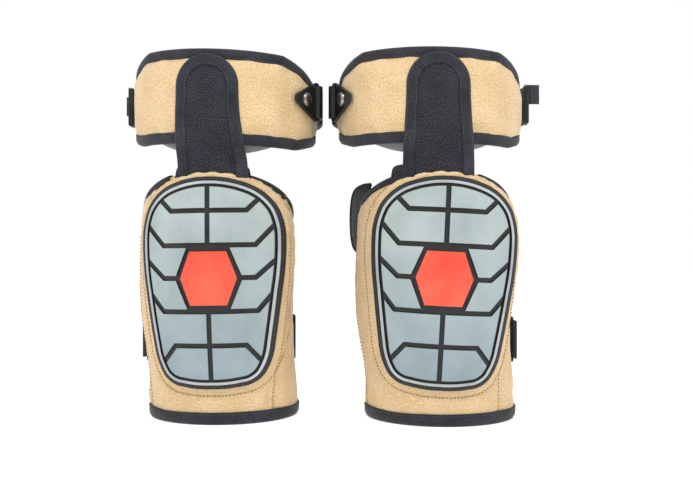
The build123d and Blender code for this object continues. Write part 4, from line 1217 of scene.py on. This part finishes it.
# %% Ribbed bands round the leg
def ribbed(width, thick, ribs, relief):
    """Section of a ribbed band: (height, depth) points going round it."""
    up = np.linspace(-width / 2, width / 2, ribs * 4 + 1)
    wave = relief * np.cos(np.linspace(0, ribs * 2 * pi, len(up)))
    round_off = 0.5 * thick * (1 - np.abs(up / (width / 2)) ** 30)
    outer = [(z, o + w) for z, o, w in zip(up, round_off, wave)]
    inner = [(z, -o - w) for z, o, w in zip(up[::-1], round_off[::-1], wave[::-1])]
    return outer + inner


def band_rings(centre, hand, radius, start, end, height, section, step=2.5 * MM):
    """Rings of a section carried round the leg from one angle to another."""
    count = max(4, int(abs(end - start) * radius / step))
    angles = np.linspace(start, end, count)
    rings = np.zeros((count, len(section), 3))
    for j, (up, off) in enumerate(section):
        rings[:, j, 0] = centre[0] + hand * (radius + off) * np.sin(angles)
        rings[:, j, 1] = centre[1] - (radius + off) * np.cos(angles)
        rings[:, j, 2] = height + up
    return rings


for side in SIDES:
    pad = PADS[side]
    hand = pad["hand"]
    reach = pad["cuff_r"] + 4.5 * MM
    start, end = radians(86.2), radians(275)
    section = ribbed(44 * MM, 3 * MM, 20, 0.22 * MM)
    rings = band_rings(pad["cuff"], hand, reach + 1.5 * MM, start, end, pad["rivet_z"], section)
    roll_piece(
        f"{side}_thigh_elastic", rings, ELASTIC, f"{side}_thigh_strap", [f"{side}_thigh_strap"],
        flip=hand > 0,
    )
    hem_start = end - 20 * MM / (reach + 3 * MM)
    fold = ribbed(44 * MM, 2.4 * MM, 20, 0.15 * MM)
    rings = band_rings(pad["cuff"], hand, reach + 4.2 * MM, hem_start, end + 0.004, pad["rivet_z"], fold)
    roll_piece(f"{side}_thigh_hem", rings, ELASTIC, f"{side}_thigh_strap", [], flip=hand > 0)
    for at in (hem_start + 0.02, end - 0.02):
        up = np.linspace(-20 * MM, 20 * MM, 30)
        line = np.stack([
            pad["cuff"][0] + hand * (reach + 5.5 * MM) * np.sin(at) + 0 * up,
            pad["cuff"][1] - (reach + 5.5 * MM) * np.cos(at) + 0 * up,
            pad["rivet_z"] + up,
        ], axis=1)
        sew(f"{side}_thigh_strap", "black", line)
    tab_low, tab_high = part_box(f"{side}_thigh_strap_tab")
    size = np.array(tab_high - tab_low)
    middle = np.array(tab_high + tab_low) / 2
    if size[0] > size[1]:
        u = np.linspace(-1, 1, 16)[:, None]
        v = np.linspace(-1, 1, 24)[None, :]
        curl = 1.2 * MM * (u + 1) ** 2 / 4
        body = np.sqrt(np.clip((1 - np.abs(u) ** 10) * (1 - np.abs(v) ** 14), 0, 1)) * size[1] * 0.42
        grid = lambda off: np.stack([
            middle[0] + u * size[0] / 2 * (1 if hand < 0 else -1) + 0 * v,
            middle[1] + curl + off,
            middle[2] + v * size[2] / 2 + 0 * u,
        ], axis=-1)
        cushion_piece(
            f"{side}_pull_tab", grid(body), grid(-body), WEBBING, f"{side}_thigh_strap",
            [f"{side}_thigh_strap_tab"],
        )
    else:
        tab = ribbed(22 * MM, 2 * MM, 12, 0.2 * MM)
        rings = band_rings(
            pad["cuff"], hand, reach + 6.4 * MM, end - 14 * MM / (reach + 5 * MM), end, pad["rivet_z"], tab
        )
        roll_piece(
            f"{side}_pull_tab", rings, WEBBING, f"{side}_thigh_strap", [f"{side}_thigh_strap_tab"],
            flip=hand > 0,
        )
    low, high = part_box(f"{side}_calf_strap")
    calf_r = pad["knee"] + 1.5 * MM + 1.25 * MM
    height = (low.z + high.z) / 2
    calf_axis = (pad["leg"][0] + float(wrap_lean(height)) * 0.8, pad["leg"][1])
    section = ribbed(52 * MM, 2.5 * MM, 24, 0.22 * MM)
    rings = band_rings(calf_axis, hand, calf_r, radians(115), radians(262), height, section)
    roll_piece(
        f"{side}_calf_elastic", rings, ELASTIC, f"{side}_calf_strap", [f"{side}_calf_strap"],
        flip=hand > 0,
    )
    span = 26 * MM / (calf_r + 1.2 * MM)
    section = ribbed(44 * MM, 2.5 * MM, 8, 0.1 * MM)
    rings = band_rings(
        calf_axis, hand, calf_r + 2.5 * MM, radians(262) - span, radians(266), height, section
    )
    roll_piece(
        f"{side}_calf_hook_tab", rings, HOOK, f"{side}_calf_strap", [f"{side}_calf_strap_tab"],
        flip=hand > 0,
    )
print("elastic straps made")

# %% [markdown]
# ## Stitches
# A lockstitch shows as a row of short thread ends with small gaps. One Geometry Nodes tree makes them
# all: it spaces points along a line, sets a small capsule of thread on each, and turns it along the
# line. The tree's inputs are the stitch's length, its pitch and the thread's thickness.

# %% More lines: round the cap's flange and outside the pillow
for side in SIDES:
    pad = PADS[side]
    loop = pad["cap"]
    middle = loop.mean(axis=0)
    run = np.roll(loop, -1, axis=0) - np.roll(loop, 1, axis=0)
    out = np.stack([run[:, 1], -run[:, 0]], axis=1)
    out /= np.linalg.norm(out, axis=1)[:, None]
    for gap, off, colour in ((-2.3 * MM, 3.75 * MM, "cap"), (PILLOW_EDGE + 0.2 * MM, None, "tan")):
        line = np.vstack([loop, loop[:1]]) + np.vstack([out, out[:1]]) * gap
        z = line[:, 1]
        x = line[:, 0] - pad["leg"][0] - wrap_lean(z)
        if off is not None:
            angle = np.arcsin(np.clip(x / (pad["knee"] + 8 * MM), -1, 1))
            for _ in range(6):
                reach = barrel_reach(pad, angle, z) + off
                angle = np.arcsin(np.clip(x / reach, -1, 1))
            points = wrap_point(pad, angle, z, reach - wrap_radius(pad, z))
        else:
            radius = wrap_radius(pad, z)
            angle = np.arcsin(np.clip(x / radius, -1, 1))
            keep = (np.abs(x) < radius * 0.995) & (z < wrap_top(pad, angle) - 8 * MM)
            points = wrap_point(pad, angle, z, cover_offset(side, angle, z) + 0.35 * MM)
            first = int(np.argmax(~keep))
            order = np.roll(np.arange(len(x)), -first)
            points = points[order][keep[order]]
        sew(f"{side}_pad", colour, points)
print("stitch lines", sum(len(v) for v in STITCHES.values()))


# %% The stitch tree
def stitch_tree():
    """Geometry Nodes that turn lines into rows of thread ends."""
    tree = bpy.data.node_groups.new("thread_ends", "GeometryNodeTree")
    face = tree.interface
    face.new_socket(name="Lines", in_out="INPUT", socket_type="NodeSocketGeometry")
    plain = {"Stitch length": 2.4 * MM, "Stitch pitch": 3.2 * MM, "Thread thickness": 0.8 * MM}
    for name, value in plain.items():
        face.new_socket(name=name, in_out="INPUT", socket_type="NodeSocketFloat").default_value = value
    face.new_socket(name="Thread", in_out="INPUT", socket_type="NodeSocketMaterial")
    face.new_socket(name="Stitches", in_out="OUTPUT", socket_type="NodeSocketGeometry")
    given = add(tree, "NodeGroupInput").outputs
    points = add(
        tree, "GeometryNodeResampleCurve",
        {"Curve": given["Lines"], "Length": given["Stitch pitch"]}, mode="LENGTH",
    )
    thread = add(tree, "GeometryNodeMeshUVSphere", {"Segments": 6, "Rings": 4, "Radius": 0.5})
    tangent = add(tree, "GeometryNodeInputTangent")
    turn = add(tree, "FunctionNodeAlignRotationToVector", {"Vector": tangent.outputs[0]}, axis="X")
    size = add(
        tree, "ShaderNodeCombineXYZ",
        {0: given["Stitch length"], 1: given["Thread thickness"], 2: given["Thread thickness"]},
    )
    set_out = add(
        tree, "GeometryNodeInstanceOnPoints",
        {
            "Points": points.outputs[0], "Instance": thread.outputs["Mesh"],
            "Rotation": turn.outputs[0], "Scale": size.outputs[0],
        },
    )
    real = add(tree, "GeometryNodeRealizeInstances", {0: set_out.outputs[0]})
    smooth = add(tree, "GeometryNodeSetShadeSmooth", {"Geometry": real.outputs[0]})
    coat = add(tree, "GeometryNodeSetMaterial", {"Geometry": smooth.outputs[0], "Material": given["Thread"]})
    add(tree, "NodeGroupOutput", {"Stitches": coat.outputs[0]})
    return tree


def socket_id(tree, name):
    """Identifier of a named input of a tree."""
    return next(i.identifier for i in tree.interface.items_tree if i.name == name and i.in_out == "INPUT")


THREADS = {
    "tan": (TAN_THREAD, 2.6 * MM, 4.0 * MM, 1.1 * MM, "tan_cloth"),
    "black": (BLACK_THREAD, 2.2 * MM, 3.1 * MM, 0.7 * MM, "black_tape"),
    "cap": (BLACK_THREAD, 2.4 * MM, 4.2 * MM, 1.2 * MM, "black_tape"),
}
TREE = stitch_tree()
for (body, colour), lines in STITCHES.items():
    thread, length, pitch, thick, slot = THREADS[colour]
    curve = bpy.data.curves.new(f"{body}_{colour}_lines", "CURVE")
    curve.dimensions = "3D"
    for line in lines:
        spline = curve.splines.new("POLY")
        spline.points.add(len(line) - 1)
        spline.points.foreach_set("co", np.hstack([line, np.ones((len(line), 1))]).ravel())
    rows = bpy.data.objects.new(f"{body}_{colour}_lines", curve)
    bpy.context.scene.collection.objects.link(rows)
    sewing = rows.modifiers.new("sewing", "NODES")
    sewing.node_group = TREE
    sewing[socket_id(TREE, "Stitch length")] = length
    sewing[socket_id(TREE, "Stitch pitch")] = pitch
    sewing[socket_id(TREE, "Thread thickness")] = thick
    sewing[socket_id(TREE, "Thread")] = thread
    shape = rows.evaluated_get(bpy.context.evaluated_depsgraph_get())
    mesh = bpy.data.meshes.new_from_object(shape)
    bpy.data.objects.remove(rows)
    if not mesh.uv_layers:
        mesh.uv_layers.new(name="cloth")
    mesh.uv_layers[0].name = "cloth"
    if not mesh.materials:
        mesh.materials.append(thread)
    stitches = bpy.data.objects.new(f"{body}_{colour}_stitches", mesh)
    bpy.context.scene.collection.objects.link(stitches)
    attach(stitches, body)
    print(stitches.name, len(mesh.polygons), "faces")

# %% [markdown]
# ## Floor, light and camera
# The pair stands on a plain white floor, which glows a little so that no horizon shows, in even studio
# light: a white room, a large soft light above and in front, and a weaker one on either side. The
# camera has a normal lens near the height of the pads' middle, about a metre away and moved a little
# to the right.

# %% Floor
FLOOR_HALF = 6.0
floor = bpy.data.objects.new("floor", bpy.data.meshes.new("floor"))
corners = [(a * FLOOR_HALF, b * FLOOR_HALF, 0) for a, b in ((-1, -1), (1, -1), (1, 1), (-1, 1))]
floor.data.from_pydata(corners, [], [(0, 1, 2, 3)])
white, _, shader = finish("white_floor", Roughness=0.9)
shader.inputs["Base Color"].default_value = (0.95, 0.95, 0.95, 1)
shader.inputs["Emission Color"].default_value = (1, 1, 1, 1)
shader.inputs["Emission Strength"].default_value = 0.5
floor.data.materials.append(white)
bpy.context.scene.collection.objects.link(floor)
print("floor", 2 * FLOOR_HALF, "m wide")


# %% Lights
def soft_light(name, place, target, size, power):
    """A softbox at a place, turned to a target; its size is (width, height)."""
    light = bpy.data.lights.new(name, "AREA")
    light.shape = "RECTANGLE"
    light.size, light.size_y = size
    light.energy = power
    lamp = bpy.data.objects.new(name, light)
    lamp.location = place
    lamp.rotation_euler = (Vector(target) - Vector(place)).to_track_quat("-Z", "Y").to_euler()
    bpy.context.scene.collection.objects.link(lamp)


soft_light("overhead softbox", (0.05, -0.85, 1.5), (0, 0, 0.2), (1.2, 0.8), 17)
soft_light("left softbox", (-1.5, -0.6, 0.5), (0, 0, 0.2), (0.5, 1.1), 5)
soft_light("right softbox", (1.5, -0.6, 0.5), (0, 0, 0.2), (0.5, 1.1), 5)
world = bpy.data.worlds.new("white room")
world.use_nodes = True
room = world.node_tree.nodes["Background"]
room.inputs["Color"].default_value = (1, 1, 1, 1)
ray = add(world.node_tree, "ShaderNodeLightPath")
level = add(
    world.node_tree, "ShaderNodeMapRange",
    {"Value": ray.outputs["Is Camera Ray"], "To Min": 0.55, "To Max": 1.0},
)
world.node_tree.links.new(level.outputs[0], room.inputs["Strength"])
bpy.context.scene.world = world
bpy.context.scene.view_settings.view_transform = "Standard"

# %% Camera
SENSOR_MM = 36
LENS_MM = 49.403
AZIMUTH = radians(2.65)
DISTANCE = 1.084
EYE = 185 * MM
LEFT_OF_VIEW = 139.5 * MM
lens = bpy.data.cameras.new("camera")
lens.sensor_width = SENSOR_MM
lens.lens = LENS_MM
camera = bpy.data.objects.new("camera", lens)
legs = [PADS[side]["leg"] for side in SIDES]
target = Vector((legs[0][0] + LEFT_OF_VIEW, (legs[0][1] + legs[1][1]) / 2, EYE))
camera.location = target + Vector((sin(AZIMUTH) * DISTANCE, -cos(AZIMUTH) * DISTANCE, 0))
camera.rotation_euler = (radians(90), 0, AZIMUTH)
bpy.context.scene.collection.objects.link(camera)
bpy.context.scene.camera = camera
print("camera at", [round(v, 3) for v in camera.location])
